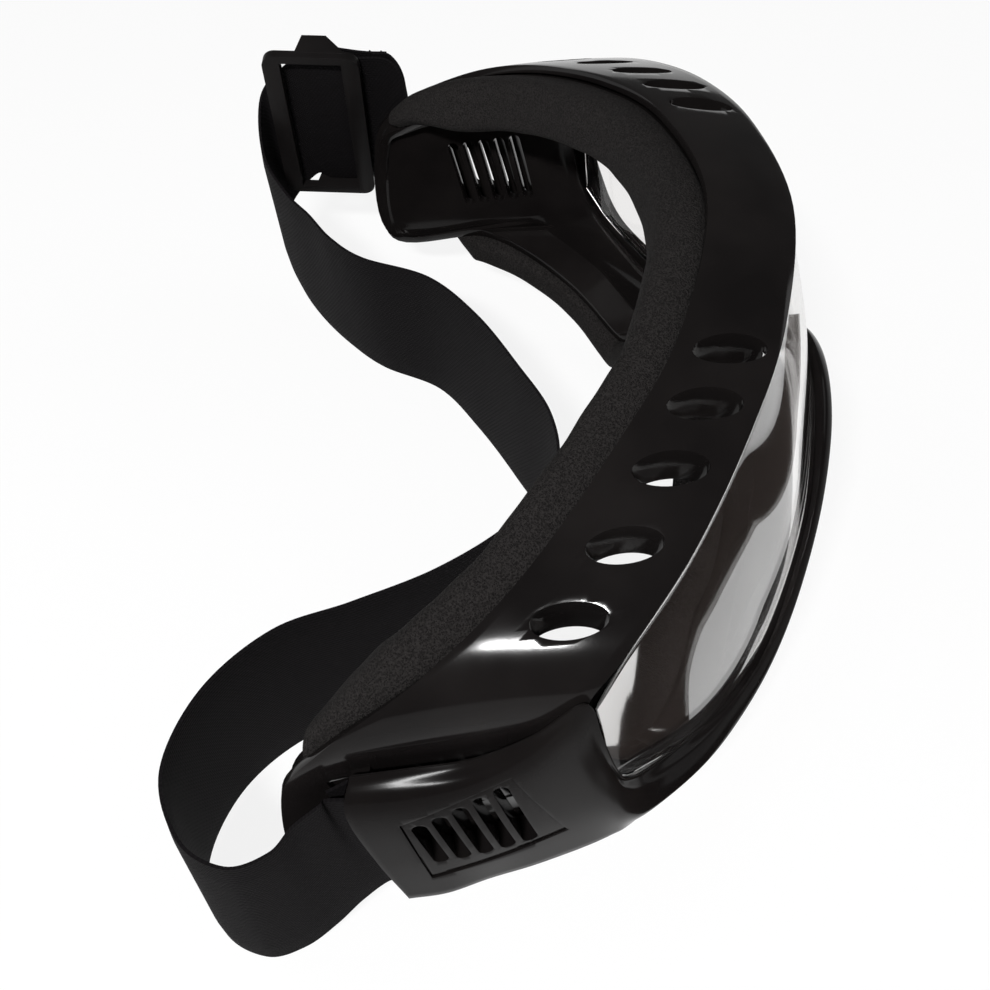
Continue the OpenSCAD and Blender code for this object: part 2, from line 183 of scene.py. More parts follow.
def cut(piece: bpy.types.Object, tool: bpy.types.Object, operation: str = "DIFFERENCE") -> None:
    """Cuts a piece with a tool, or joins them, and throws the tool away.

    Args:
        piece: The piece that is kept.
        tool: The shape that is taken from it or added to it.
        operation: The kind of cut.
    """
    apply_modifier(piece, "BOOLEAN", object=tool, operation=operation, solver="MANIFOLD")
    bpy.data.objects.remove(tool)


def round_edges(piece: bpy.types.Object, edge: Edge, segments: int = 2, angle: float = 38) -> None:
    """Rounds a piece's sharp edges and shades the rest smooth.

    Args:
        piece: The piece.
        edge: How wide the rounding is.
        segments: The rounding's number of steps.
        angle: The least angle, in degrees, of an edge that counts as sharp.
    """
    apply_modifier(piece, "BEVEL", width=edge.value * MM, segments=segments, limit_method="ANGLE",
                   angle_limit=math.radians(angle), use_clamp_overlap=True)
    shade(piece)


def shade(piece: bpy.types.Object, angle: float = 32) -> None:
    """Shades a piece smooth, apart from edges sharper than an angle in degrees."""
    select_only(piece)
    bpy.ops.object.shade_smooth_by_angle(angle=math.radians(angle))


def loft(name: str, rings: Array, wrap: bool = False, tube: bool = True,
         along: Optional[Array] = None, across: Optional[Array] = None) -> bpy.types.Object:
    """Shapes a grid into a surface through rings of points.

    Args:
        name: The piece's name.
        rings: Ring, point, and X, Y, Z in millimetres.
        wrap: Whether the last ring leads back to the first.
        tube: Whether each ring is closed, and the open ends are filled.
        along: The UV map's U at each ring.
        across: The UV map's V at each point of a ring, with the closing one.

    Returns:
        The new object, at the origin, with its faces pointing outwards.
    """
    if tube:
        rings = np.concatenate([rings, rings[:, :1]], axis=1)
    if wrap:
        rings = np.concatenate([rings, rings[:1]], axis=0)
    rows, columns = rings.shape[:2]
    bpy.ops.object.select_all(action="DESELECT")
    bpy.ops.mesh.primitive_grid_add(x_subdivisions=columns - 1, y_subdivisions=rows - 1, size=1)
    piece = bpy.context.active_object
    piece.name = name
    mesh = piece.data
    mesh.name = name
    mesh.vertices.foreach_set("co", (rings * MM).astype(np.float32).ravel())
    if along is not None and across is not None:
        vertex = np.zeros(len(mesh.loops), np.int32)
        mesh.loops.foreach_get("vertex_index", vertex)
        uv = np.stack([along[vertex // columns], across[vertex % columns]], 1)
        mesh.uv_layers.active.data.foreach_set("uv", uv.astype(np.float32).ravel())
    select_only(piece)
    bpy.ops.object.mode_set(mode="EDIT")
    bpy.ops.mesh.select_all(action="SELECT")
    bpy.ops.mesh.remove_doubles(threshold=1e-7)
    if tube and not wrap:
        bpy.ops.mesh.fill_holes(sides=0)
        bpy.ops.mesh.select_all(action="SELECT")
    bpy.ops.mesh.normals_make_consistent(inside=False)
    bpy.ops.object.mode_set(mode="OBJECT")
    return piece


def prism(name: str, outline: Sequence[Sequence[float]], low: float, high: float,
          place: Callable[[Array], Array]) -> bpy.types.Object:
    """An extruded outline, placed by a function.

    Args:
        name: The piece's name.
        outline: Points in millimetres.
        low: Where the extrusion starts.
        high: Where it ends.
        place: Takes points as outline X, outline Y and height, and returns where they go.

    Returns:
        The new object.
    """
    flat = np.asarray(outline, float)
    ends = [np.column_stack([flat, np.full(len(flat), z)]) for z in (low, high)]
    return loft(name, np.stack([place(e) for e in ends]))


def joined(name: str, parts: Sequence[bpy.types.Object]) -> bpy.types.Object:
    """Separate pieces made one object.

    Args:
        name: The object's name.
        parts: The pieces.

    Returns:
        The object.
    """
    select_only(parts[0])
    for part in parts:
        part.select_set(True)
    bpy.ops.object.join()
    piece = bpy.context.active_object
    piece.name = name
    return piece


def ellipse(length: float, width: float, steps: int = 40) -> Array:
    """The outline of an ellipse with its length along Y."""
    turn = np.linspace(0, 2 * math.pi, steps + 1)[:-1]
    return np.column_stack([width / 2 * np.cos(turn), length / 2 * np.sin(turn)])


def round_ended(length: float, width: float, steps: int = 10) -> Array:
    """The outline of a slot with round ends, along Y."""
    r = width / 2
    turn = np.linspace(0, math.pi, steps + 1)
    top = np.column_stack([r * np.cos(turn), length / 2 - r + r * np.sin(turn)])
    return np.concatenate([top, -top])


@dataclass
class Nodes:
    """A short way to lay out shader nodes.

    Attributes:
        tree: The node tree.
    """

    tree: bpy.types.NodeTree

    def add(self, kind: str, inputs: Optional[Dict[object, object]] = None,
            **settings: object) -> bpy.types.Node:
        """Adds a node.

        Args:
            kind: The node's type, without its prefix.
            inputs: Socket to value or to the socket that feeds it.
            **settings: The node's own settings.

        Returns:
            The node.
        """
        node = self.tree.nodes.new("ShaderNode" + kind)
        for name, value in settings.items():
            setattr(node, name, value)
        for key, value in (inputs or {}).items():
            if isinstance(value, bpy.types.NodeSocket):
                self.tree.links.new(value, node.inputs[key])
            else:
                node.inputs[key].default_value = value
        return node

    def math(self, operation: str, a: object, b: object = 0.0) -> bpy.types.NodeSocket:
        """A sum, product or the like of two values."""
        return self.add("Math", {0: a, 1: b}, operation=operation).outputs[0]

    def mix(self, share: bpy.types.NodeSocket, a: Colour, b: Colour) -> bpy.types.NodeSocket:
        """A colour between two, by a mask."""
        node = self.add("Mix", {0: share, 6: (*a, 1), 7: (*b, 1)}, data_type="RGBA")
        return node.outputs[2]

    def span(self, value: bpy.types.NodeSocket, low: float, high: float,
             start: float = 0.0, stop: float = 1.0) -> bpy.types.NodeSocket:
        """A value brought from start and stop to low and high."""
        return self.add("MapRange", {0: value, 1: start, 2: stop, 3: low, 4: high}).outputs[0]


def surface_grain() -> bpy.types.NodeTree:
    """The shared grain and handling marks of the mouldings, the foam and the webbing.

    Returns:
        A group with Vector, Grain Scale and Mark Scale, and with Height and Marks.
    """
    name = "surface_grain"
    if name in bpy.data.node_groups:
        return bpy.data.node_groups[name]
    group = bpy.data.node_groups.new(name, "ShaderNodeTree")
    group.interface.new_socket("Vector", in_out="INPUT", socket_type="NodeSocketVector")
    group.interface.new_socket("Grain Scale", in_out="INPUT", socket_type="NodeSocketFloat")
    group.interface.new_socket("Mark Scale", in_out="INPUT", socket_type="NodeSocketFloat")
    group.interface.new_socket("Height", in_out="OUTPUT", socket_type="NodeSocketFloat")
    group.interface.new_socket("Marks", in_out="OUTPUT", socket_type="NodeSocketFloat")
    nodes = Nodes(group)
    start = group.nodes.new("NodeGroupInput")
    end = group.nodes.new("NodeGroupOutput")
    fine = nodes.add("TexNoise", {"Vector": start.outputs[0], "Scale": start.outputs[1],
                                  "Detail": 4.0, "Roughness": 0.6})
    broad = nodes.add("TexNoise", {"Vector": start.outputs[0], "Scale": start.outputs[2],
                                   "Detail": 3.0, "Roughness": 0.55})
    group.links.new(fine.outputs["Fac"], end.inputs["Height"])
    group.links.new(nodes.span(broad.outputs["Fac"], 0, 1, 0.35, 0.65), end.inputs["Marks"])
    return group


@dataclass
class Dressing:
    """A material in the making: its nodes, its shader and its grain.

    Attributes:
        name: The material's name.
        grain: How many grains there are in a metre.
        marks: How many handling marks there are in a metre.
        uv: Whether the pattern follows the UV map and not the object.
    """

    name: str
    grain: float
    marks: float
    uv: bool = False

    def __post_init__(self) -> None:
        """Makes the material with its shader, coordinates and grain."""
        self.material = bpy.data.materials.new(self.name)
        self.material.use_nodes = True
        self.nodes = Nodes(self.material.node_tree)
        self.shader = self.material.node_tree.nodes["Principled BSDF"]
        place = self.nodes.add("TexCoord")
        self.place = place.outputs["UV" if self.uv else "Object"]
        group = self.material.node_tree.nodes.new("ShaderNodeGroup")
        group.node_tree = surface_grain()
        group.inputs["Grain Scale"].default_value = self.grain
        group.inputs["Mark Scale"].default_value = self.marks
        self.material.node_tree.links.new(place.outputs["Object"], group.inputs["Vector"])
        self.height = group.outputs["Height"]
        self.mask = group.outputs["Marks"]

    def feed(self, name: str, value: object) -> None:
        """Gives one of the shader's sockets a value or a socket that feeds it."""
        if isinstance(value, bpy.types.NodeSocket):
            self.material.node_tree.links.new(value, self.shader.inputs[name])
        else:
            self.shader.inputs[name].default_value = value

    def bump(self, height: bpy.types.NodeSocket, depth: float, strength: float) -> None:
        """Bumps the surface, with the depth in millimetres."""
        node = self.nodes.add("Bump", {"Height": height, "Distance": depth * MM,
                                       "Strength": strength})
        self.feed("Normal", node.outputs[0])


@dataclass(frozen=True)
class MouldedPlastic:
    """Black moulded plastic with a fine spark-eroded grain.

    Attributes:
        name: The material's name.
        colour: Its colour.
        handled: Its colour where it is handled.
        smooth: Its roughness at its glossiest.
        rough: Its roughness at its dullest.
        shine: How strongly it reflects.
        depth: The grain's depth in millimetres.
    """

    name: str
    colour: Colour
    handled: Colour
    smooth: float
    rough: float
    shine: float = 0.08
    depth: float = 0.012

    def material(self) -> bpy.types.Material:
        """The finished material."""
        dressing = Dressing(self.name, grain=2200, marks=38)
        dressing.feed("Base Color", dressing.nodes.mix(dressing.mask, self.colour, self.handled))
        dressing.feed("Roughness", dressing.nodes.span(dressing.mask, self.smooth, self.rough))
        dressing.feed("Specular IOR Level", self.shine)
        dressing.bump(dressing.height, self.depth, 0.25)
        return dressing.material


@dataclass(frozen=True)
class ClearPlastic:
    """The lens: clear polished plastic with a faint tint.

    Attributes:
        name: The material's name.
        tint: The colour of the light that comes through.
        index: Its refractive index.
        shadow: How much light a shadow ray keeps.
        polish: Its roughness at its clearest and at its most handled.
    """

    name: str
    tint: Colour
    index: float = 1.5
    shadow: float = 0.88
    polish: Tuple[float, float] = (0.012, 0.03)

    def material(self) -> bpy.types.Material:
        """The finished material."""
        dressing = Dressing(self.name, grain=60, marks=22)
        dressing.feed("Base Color", (*self.tint, 1))
        dressing.feed("Roughness", dressing.nodes.span(dressing.mask, *self.polish))
        dressing.feed("IOR", self.index)
        dressing.feed("Transmission Weight", 1.0)
        dressing.feed("Metallic", 0.0)
        nodes = dressing.nodes
        clear = nodes.add("BsdfTransparent", {0: (self.shadow, self.shadow, self.shadow, 1)})
        path = nodes.add("LightPath")
        mixed = nodes.add("MixShader", {0: path.outputs["Is Shadow Ray"],
                                        1: dressing.shader.outputs[0], 2: clear.outputs[0]})
        out = dressing.material.node_tree.nodes["Material Output"]
        dressing.material.node_tree.links.new(mixed.outputs[0], out.inputs["Surface"])
        return dressing.material


@dataclass(frozen=True)
class OpenFoam:
    """Open-cell foam: dark cells between lighter walls.

    Attributes:
        name: The material's name.
        pore: The colour inside a cell.
        wall: The colour of the cells' walls.
        cells: How many cells there are in a metre.
    """

    name: str
    pore: Colour
    wall: Colour
    cells: float = 3400

    def material(self) -> bpy.types.Material:
        """The finished material."""
        dressing = Dressing(self.name, grain=2600, marks=60)
        nodes = dressing.nodes
        cells = nodes.add("TexVoronoi", {"Vector": dressing.place, "Scale": self.cells})
        mask = nodes.span(cells.outputs["Distance"], 0, 1, 0.1, 0.6)
        speckle = nodes.math("MULTIPLY", mask, nodes.span(dressing.height, 0.3, 1.5, 0.35, 0.65))
        dressing.feed("Base Color", nodes.mix(speckle, self.pore, self.wall))
        dressing.feed("Roughness", 0.95)
        dressing.feed("Specular IOR Level", 0.1)
        dressing.bump(speckle, 0.25, 0.7)
        return dressing.material


@dataclass(frozen=True)
class ElasticWebbing:
    """Black elastic webbing: cords along it and picks across it, on the piece's UV map in metres.

    Attributes:
        name: The material's name.
        valley: The colour between the yarns.
        yarn: The colour of the yarns.
        cord_pitch: The width of a cord, in metres.
        pick_pitch: The length of a pick, in metres.
    """

    name: str
    valley: Colour
    yarn: Colour
    cord_pitch: float = 0.0013
    pick_pitch: float = 0.0009

    def material(self) -> bpy.types.Material:
        """The finished material."""
        dressing = Dressing(self.name, grain=3000, marks=40, uv=True)
        nodes = dressing.nodes
        parts = nodes.add("SeparateXYZ", {0: dressing.place})
        turn = 2 * math.pi
        phase = nodes.math("MULTIPLY", parts.outputs[1], turn / self.cord_pitch)
        across = nodes.math("SINE", phase)
        shift = nodes.math("MULTIPLY", nodes.math("SIGN", across), math.pi / 2)
        phase = nodes.math("ADD", nodes.math("MULTIPLY", parts.outputs[0], turn / self.pick_pitch),
                           shift)
        along = nodes.math("SINE", phase)
        weave = nodes.math("ADD", nodes.math("MULTIPLY", nodes.math("ABSOLUTE", across), 0.6),
                           nodes.math("MULTIPLY", along, 0.3))
        mask = nodes.span(nodes.math("ADD", weave, nodes.math("MULTIPLY", dressing.height, 0.25)),
                          0, 1, -0.2, 1.1)
        dressing.feed("Base Color", nodes.mix(mask, self.valley, self.yarn))
        dressing.feed("Roughness", 0.82)
        dressing.feed("Specular IOR Level", 0.08)
        dressing.bump(mask, 0.16, 0.8)
        return dressing.material


@dataclass(frozen=True)
class Finishes:
    """The goggles' finishes, one material each.

    Attributes:
        frame: The frame's material.
        bezel: The bezel's and the louvres' material.
        lens: The lens's material.
        foam: The face foam's material.
        webbing: The webbing's material.
        thread: The stitches' material.
        slider: The slider's material.
    """

    frame: bpy.types.Material
    bezel: bpy.types.Material
    lens: bpy.types.Material
    foam: bpy.types.Material
    webbing: bpy.types.Material
    thread: bpy.types.Material
    slider: bpy.types.Material

    @classmethod
    def made(cls) -> "Finishes":
        """All the finishes, made once."""
        return cls(
            frame=MouldedPlastic("frame_gloss", (0.005, 0.0043, 0.0043), (0.009, 0.0078, 0.0076),
                                 0.08, 0.16, 0.12).material(),
            bezel=MouldedPlastic("bezel_gloss", (0.0045, 0.0038, 0.0038), (0.0075, 0.0065, 0.0063),
                                 0.12, 0.22, 0.04).material(),
            lens=ClearPlastic("lens_clear", (0.93, 0.92, 0.91)).material(),
            foam=OpenFoam("foam_open_cell", (0.003, 0.0026, 0.0026),
                          (0.022, 0.02, 0.0195)).material(),
            webbing=ElasticWebbing("webbing_black", (0.001, 0.001, 0.001),
                                   (0.006, 0.005, 0.0058)).material(),
            thread=MouldedPlastic("thread_black", (0.006, 0.0055, 0.006), (0.01, 0.009, 0.01),
                                  0.5, 0.7, 0.15).material(),
            slider=MouldedPlastic("slider_satin", (0.005, 0.0045, 0.0045), (0.009, 0.008, 0.008),
                                  0.3, 0.45, 0.06).material())


def finish_piece(piece: bpy.types.Object, material: bpy.types.Material, body: str,
                 nodes: Sequence[str] = ()) -> None:
    """Gives a piece its material, its body and the nodes that it stands for.

    Args:
        piece: The piece, with its place in its mesh.
        material: Its material.
        body: The body that it rides on.
        nodes: The nodes that it replaces.
    """
    piece.data.materials.clear()
    piece.data.materials.append(material)
    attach(piece, body)
    if nodes:
        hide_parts(*nodes)
    LOG.info("%s: %d faces, rides on %s", piece.name, len(piece.data.polygons), body)


@dataclass
class SideVent:
    """The vent window in each temple, and its louvre.

    Attributes:
        at: The middle of the left vent's face.
        lean: Its lean towards the ear, in degrees.
        turn: Its turn with the temple, in degrees.
        outline: The louvre's outline back and up from that middle.
        depth: How deep the louvre reaches.
        recess: How deep its face lies under the bezel's.
        proud: How far the window's cutter stands out of the face.
        gap: The gap round the louvre.
        slot_w: A slot's width.
        slot_pitch: The distance from slot to slot.
        slot_count: The number of slots.
        louvre_slots: Foot and height of the louvre's rearmost and foremost slot.
        temple_slots: The same for the slots in the temple behind it.
        slot_reach: How far in a slot's cutter reaches, counted in depths.
    """

    at: Tuple[float, float, float] = (86, 3.6, 38)
    lean: float = 13
    turn: float = 12
    outline: Tuple[Tuple[float, float], ...] = ((10.5, -11.5), (9.4, 8.2), (-9.6, 13.4), (-13, -10))
    depth: float = 4.5
    recess: float = 0.3
    proud: float = 6
    gap: float = 0.15
    slot_w: float = 2.5
    slot_pitch: float = 3.6
    slot_count: int = 5
    louvre_slots: Tuple[Tuple[float, float], ...] = ((-6.7, 13.6), (-8.9, 20.6))
    temple_slots: Tuple[Tuple[float, float], ...] = ((-6, 17), (-6, 16.5))
    slot_reach: int = 4

    def place(self, side: Side) -> Callable[[Array], Array]:
        """How a prism's points go to one side's vent, with its height out of the temple."""
        def put(points: Array) -> Array:
            swapped = np.column_stack([points[:, 2], points[:, 0], points[:, 1]])
            done = turned(turned(swapped, (-self.lean, 0, 0)), (0, 0, -self.turn)) + self.at
            return done * [side.value, 1, 1]
        return put

    def grown(self, by: float) -> Array:
        """The outline, with each corner moved out by a distance."""
        corners = np.asarray(self.outline, float)
        return corners + by * np.sign(corners)

    def window(self, side: Side, grow: float) -> bpy.types.Object:
        """The louvre's outline, grown by a distance, through the bezel."""
        return prism("window", self.grown(grow), -self.depth, self.proud, self.place(side))

    def slots(self, side: Side, ends: Sequence[Sequence[float]]) -> bpy.types.Object:
        """The cutter for a row of slots.

        Args:
            side: The side.
            ends: Foot and height of the rearmost and the foremost slot.

        Returns:
            The cutter.
        """
        last = self.slot_count - 1
        parts = []
        for k in range(self.slot_count):
            foot, height = (a + k / last * (b - a) for a, b in zip(*ends))
            outline = round_ended(height, self.slot_w)
            outline = outline + [(last / 2 - k) * self.slot_pitch, foot + height / 2]
            parts.append(prism("slot", outline, -self.slot_reach * self.depth, self.depth,
                               self.place(side)))
        return joined("slots", parts)


@dataclass
class Shell:
    """The frame's own shape, which the foam and the bezel follow.

    Attributes:
        front: The outer face's front edge, from the brow to the nose.
        rear: Its rear edge.
        swell: How far the face swells half way between them.
        edge_drop: How far the rear edge faces down.
        flange_share: The flange's share of its full width.
        wall: The wall's thickness.
        flange_w: The flange's width.
        flange_t: The flange's thickness.
        lip_h: The lip's height.
        lip_t: The lip's thickness.
        corner: The room between the flange and the inner face.
        least_reach: The least depth that the frame counts as having.
        oval_at: The brow vents' stations.
        oval_across: Their place from front to rear.
        oval_size: A brow vent's length and width.
        collar_t: The thickness of the collar inside the frame round it.
        collar_h: How deep the collar reaches.
        bar_at: The middle of the left webbing bar.
        bar_d: Its diameter.
        gather_half: Half the width of the webbing on it.
        lug: The length, depth and thickness of the lug at each of its ends.
        lug_out: How far past the bar's middle a lug stands out.
        pocket_low: The pocket's inner front corner, from the bar.
        pocket_size: The pocket's size out and back.
        end_gap: The room past the webbing's edges.
        steps: The number of rings from one station to the next.
        rows: The number of points from front to rear.
    """

    front: Sequence = field(default_factory=lambda: [
        [0, -48.3, 90], [26, -44.5, 88], [45, -37.7, 84.4], [62, -28.8, 78],
        [74.8, -18.9, 70.6], [79.2, -13.5, 64], [79.3, -13, 50], [76.5, -15.5, 37],
        [70.5, -21, 29], [57.5, -33, 22], [45.5, -41.5, 21.5], [29, -50, 32], [12, -52.5, 46],
        [0, -53, 50]])
    rear: Sequence = field(default_factory=lambda: [
        [0, -34, 92.5], [28, -28.3, 89.2], [47, -18, 84.2], [65, -4, 75.7], [76, 10, 67],
        [82.2, 25.5, 56], [84, 33.2, 44], [84, 32, 17.5], [82, 7, 22.5], [71, -16.5, 17],
        [56.5, -32.5, 6.5], [31, -40.5, 18], [13, -42.5, 36.5], [0, -43, 43]])
    swell: Sequence = (0.6, 0.7, 0.6, 0.4, 0.4, -0.4, -1.4, -1.4, 0, 0.4, 0.6, 0.8, 0.6, 0.6)
    edge_drop: Sequence = (0, 0, 0, 0, 0, 0, 0.2, 0.8, 1, 0.4, 0, 0, 0, 0)
    flange_share: Sequence = (1, 1, 1, 1, 1, 0.7, 0.4, 0.4, 0.8, 1, 1, 0.9, 0.8, 0.7)
    wall: float = 2.2
    flange_w: float = 9
    flange_t: float = 2
    lip_h: float = 1.2
    lip_t: float = 1.5
    corner: float = 0.5
    least_reach: float = 6
    oval_at: Tuple[float, ...] = (1.2, 1.7, 2.24, 2.83, 3.5)
    oval_across: float = 0.47
    oval_size: Tuple[float, float] = (11.5, 5.4)
    collar_t: float = 1
    collar_h: float = 6.5
    bar_at: Tuple[float, float, float] = (83.9, 16.5, 34)
    bar_d: float = 2
    gather_half: float = 14.5
    lug: Tuple[float, float, float] = (3.3, 3, 2)
    lug_out: float = 1
    pocket_low: Tuple[float, float] = (-2.6, -2.8)
    pocket_size: Tuple[float, float] = (10, 9)
    end_gap: float = 0.3
    steps: int = 9
    rows: int = 12

    def __post_init__(self) -> None:
        """Makes the loops round the face."""
        self.front_loop = round_face(self.front)
        self.rear_loop = round_face(self.rear)
        self.swell_loop = round_face(self.swell)
        self.drop_loop = round_face(self.edge_drop)
        self.share_loop = round_face(self.flange_share)
        self.total = len(self.front_loop.values)

    def rearward(self, u: Array) -> Array:
        """The direction from the front edge to the rear one."""
        return unit(self.rear_loop.at(u) - self.front_loop.at(u))

    def outward(self, u: Array) -> Array:
        """The direction out of the outer face."""
        along = sum(loop.at(u + STEP) - loop.at(u - STEP)
                    for loop in (self.front_loop, self.rear_loop))
        return unit(np.cross(along, self.rearward(u)))

    def face(self, u: Array, v: float) -> Array:
        """The outer face, v of the way from front to rear."""
        front = self.front_loop.at(u)
        swell = 4 * v * (1 - v) * self.swell_loop.at(u)[:, None]
        return front + v * (self.rear_loop.at(u) - front) + swell * self.outward(u)

    def at_edge(self, u: Array) -> Tuple[Array, Array]:
        """The directions at the rear edge.

        Args:
            u: The stations.

        Returns:
            Back to the face and square to the edge, then out from the opening.
        """
        along = unit(self.rear_loop.at(u + STEP) - self.rear_loop.at(u - STEP))
        way = self.rearward(u) - self.drop_loop.at(u)[:, None] * [0, 0, 1]
        back = unit(way - np.sum(way * along, axis=1, keepdims=True) * along)
        return back, np.cross(along, back)

    def sections(self) -> Array:
        """The frame's rings: outer face, lip, flange and inner face."""
        u = np.arange(self.total * self.steps) / self.steps
        edge = self.rear_loop.at(u)
        back, out = self.at_edge(u)
        width = self.flange_w * self.share_loop.at(u)[:, None]
        reach = np.sum((edge - self.front_loop.at(u)) * back, axis=1)
        stop = 1 - (self.lip_h + self.flange_t + self.corner) / np.maximum(self.least_reach, reach)
        points = [self.face(u, k / self.rows) for k in range(self.rows + 1)]
        points += [edge - out * self.lip_t, edge - out * self.lip_t - back * self.lip_h,
                   edge - out * width - back * self.lip_h,
                   edge - out * width - back * (self.lip_h + self.flange_t)]
        front, face_out = self.front_loop.at(u), self.outward(u)
        for k in range(self.rows, -1, -1):
            v = (stop * k / self.rows)[:, None]
            swell = 4 * v * (1 - v) * self.swell_loop.at(u)[:, None]
            points.append(front + v * (edge - front) + (swell - self.wall) * face_out)
        return np.stack(points, axis=1)

    def at_vents(self, name: str, grow: float, low: float, high: float) -> bpy.types.Object:
        """A prism of each brow vent's outline, on both sides.

        Args:
            name: The object's name.
            grow: How much wider than the vent it is all round.
            low: Its inner end, from the outer face.
            high: Its outer end.

        Returns:
            The prisms as one object.
        """
        outline = ellipse(self.oval_size[0] + 2 * grow, self.oval_size[1] + 2 * grow)
        parts = []
        for side in Side:
            for u in self.oval_at:
                here = np.array([u])
                at, z = self.face(here, self.oval_across)[0], self.outward(here)[0]
                x = unit(np.cross(self.rearward(here)[0], z))
                axes = np.stack([x, np.cross(z, x), [0, 0, 1]])

                def put(points: Array, at: Array = at, axes: Array = axes,
                        side: Side = side) -> Array:
                    return (at + points @ axes) * [side.value, 1, 1]
                parts.append(prism(name, outline, low, high, put))
        return joined(name, parts)

    def on_bar(self, points: Array) -> Array:
        """Points beside the left bar, brought to the part's place."""
        return turned(points, (-SideVent.lean, 0, 0)) + self.bar_at

    def bar(self, side: Side) -> bpy.types.Object:
        """The moulded bar that the webbing loops round, with the lugs that hold it."""
        turn = np.linspace(0, 2 * math.pi, 25)[:-1]
        outline = np.column_stack([np.cos(turn), np.sin(turn)]) * self.bar_d / 2
        half = self.gather_half + self.lug[2] / 2

        def put(points: Array) -> Array:
            return self.on_bar(points) * [side.value, 1, 1]
        piece = prism("bar", outline, -half, half, put)
        x1, y = self.lug_out, self.lug[1] / 2
        x0 = x1 - self.lug[0]
        outline = [[x0, -y], [x1, -y], [x1, y], [x0, y]]
        for end in (-1, 1):
            middle = end * (self.gather_half + self.lug[2] / 2 + self.end_gap)
            low, high = middle - self.lug[2] / 2, middle + self.lug[2] / 2
            cut(piece, prism("lug", outline, low, high, put), "UNION")
        return piece

    def pocket(self, side: Side) -> bpy.types.Object:
        """The room for the webbing, cut from the frame's wall."""
        x0, y0 = self.pocket_low
        x1, y1 = x0 + self.pocket_size[0], y0 + self.pocket_size[1]
        outline = [[x0, y0], [x1, y0], [x1, y1], [x0, y1]]

        def put(points: Array) -> Array:
            return self.on_bar(points) * [side.value, 1, 1]
        half = self.gather_half + self.end_gap
        return prism("pocket", outline, -half, half, put)

    def build(self, finishes: Finishes, vent: SideVent, lens: "Lens") -> None:
        """Makes the frame with its vents, slots, lens groove and webbing bars."""
        piece = loft("frame_moulding", self.sections(), wrap=True)
        cut(piece, self.at_vents("collars", self.collar_t, -self.collar_h, -self.wall / 2), "UNION")
        for side in Side:
            cut(piece, self.pocket(side))
        cut(piece, lens.body("groove", gap=lens.fit_gap))
        cut(piece, self.at_vents("vents", 0, -2 * self.collar_h, self.collar_h))
        for side in Side:
            cut(piece, vent.slots(side, vent.temple_slots))
        round_edges(piece, Edge.SOFT)
        bars = self.bar(Side.LEFT)
        cut(bars, self.bar(Side.RIGHT), "UNION")
        bars.name = "webbing_bars"
        round_edges(bars, Edge.FINE)
        finish_piece(piece, finishes.frame, ROOT, ["frame"])
        finish_piece(bars, finishes.frame, ROOT)


@dataclass
class Lens:
    """The wraparound lens.

    Attributes:
        top: Its top edge, from the middle to one end.
        low: Its bottom edge.
        thick: Its thickness.
        swell: How far it swells between its edges.
        fit_gap: The gap between it and its groove.
        steps: The number of rings from one station to the next.
        rows: The number of points from top to bottom.
    """

    top: Sequence = field(default_factory=lambda: [
        [0, -47.6, 88.6], [26, -43.8, 86.8], [45, -37, 83.2], [62, -28.2, 76.8],
        [74.3, -18.8, 69.2], [78.4, -14.8, 62.5]])
    low: Sequence = field(default_factory=lambda: [
        [0, -56, 52], [24, -54.5, 40], [43, -46.8, 25.5], [59, -35.5, 24], [71, -23.4, 30],
        [76.4, -17.3, 36.5]])
    thick: float = 2
    swell: float = 0.8
    fit_gap: float = 0.15
    steps: int = 16
    rows: int = 24

    def body(self, name: str, gap: float = 0.0) -> bpy.types.Object:
        """The lens, or with a gap its groove.

        Args:
            name: The piece's name.
            gap: How much larger it is on every side.

        Returns:
            The piece.
        """
        top, low = from_middle(self.top), from_middle(self.low)
        last = len(top.values) - 1
        u = np.arange(last * self.steps + 1) / self.steps
        along = sum(line.at(u + STEP) - line.at(u - STEP) for line in (top, low))
        high, deep = top.at(u), low.at(u)
        out = unit(np.cross(along, high - deep))
        rise = unit(high - deep)
        outer = []
        for k in range(self.rows + 1):
            v = k / self.rows
            grow = gap if k == 0 else -gap if k == self.rows else 0.0
            outer.append(high + v * (deep - high) + out * (gap + 4 * v * (1 - v) * self.swell)
                         + rise * grow)
        inner = [points - out * (self.thick + 2 * gap) for points in outer[::-1]]
        return loft(name, np.stack(outer + inner, axis=1))

    def build(self, finishes: Finishes) -> None:
        """Makes the lens."""
        piece = self.body("lens_clear_sheet")
        round_edges(piece, Edge.SOFT, segments=3, angle=60)
        finish_piece(piece, finishes.lens, ROOT, ["lens"])


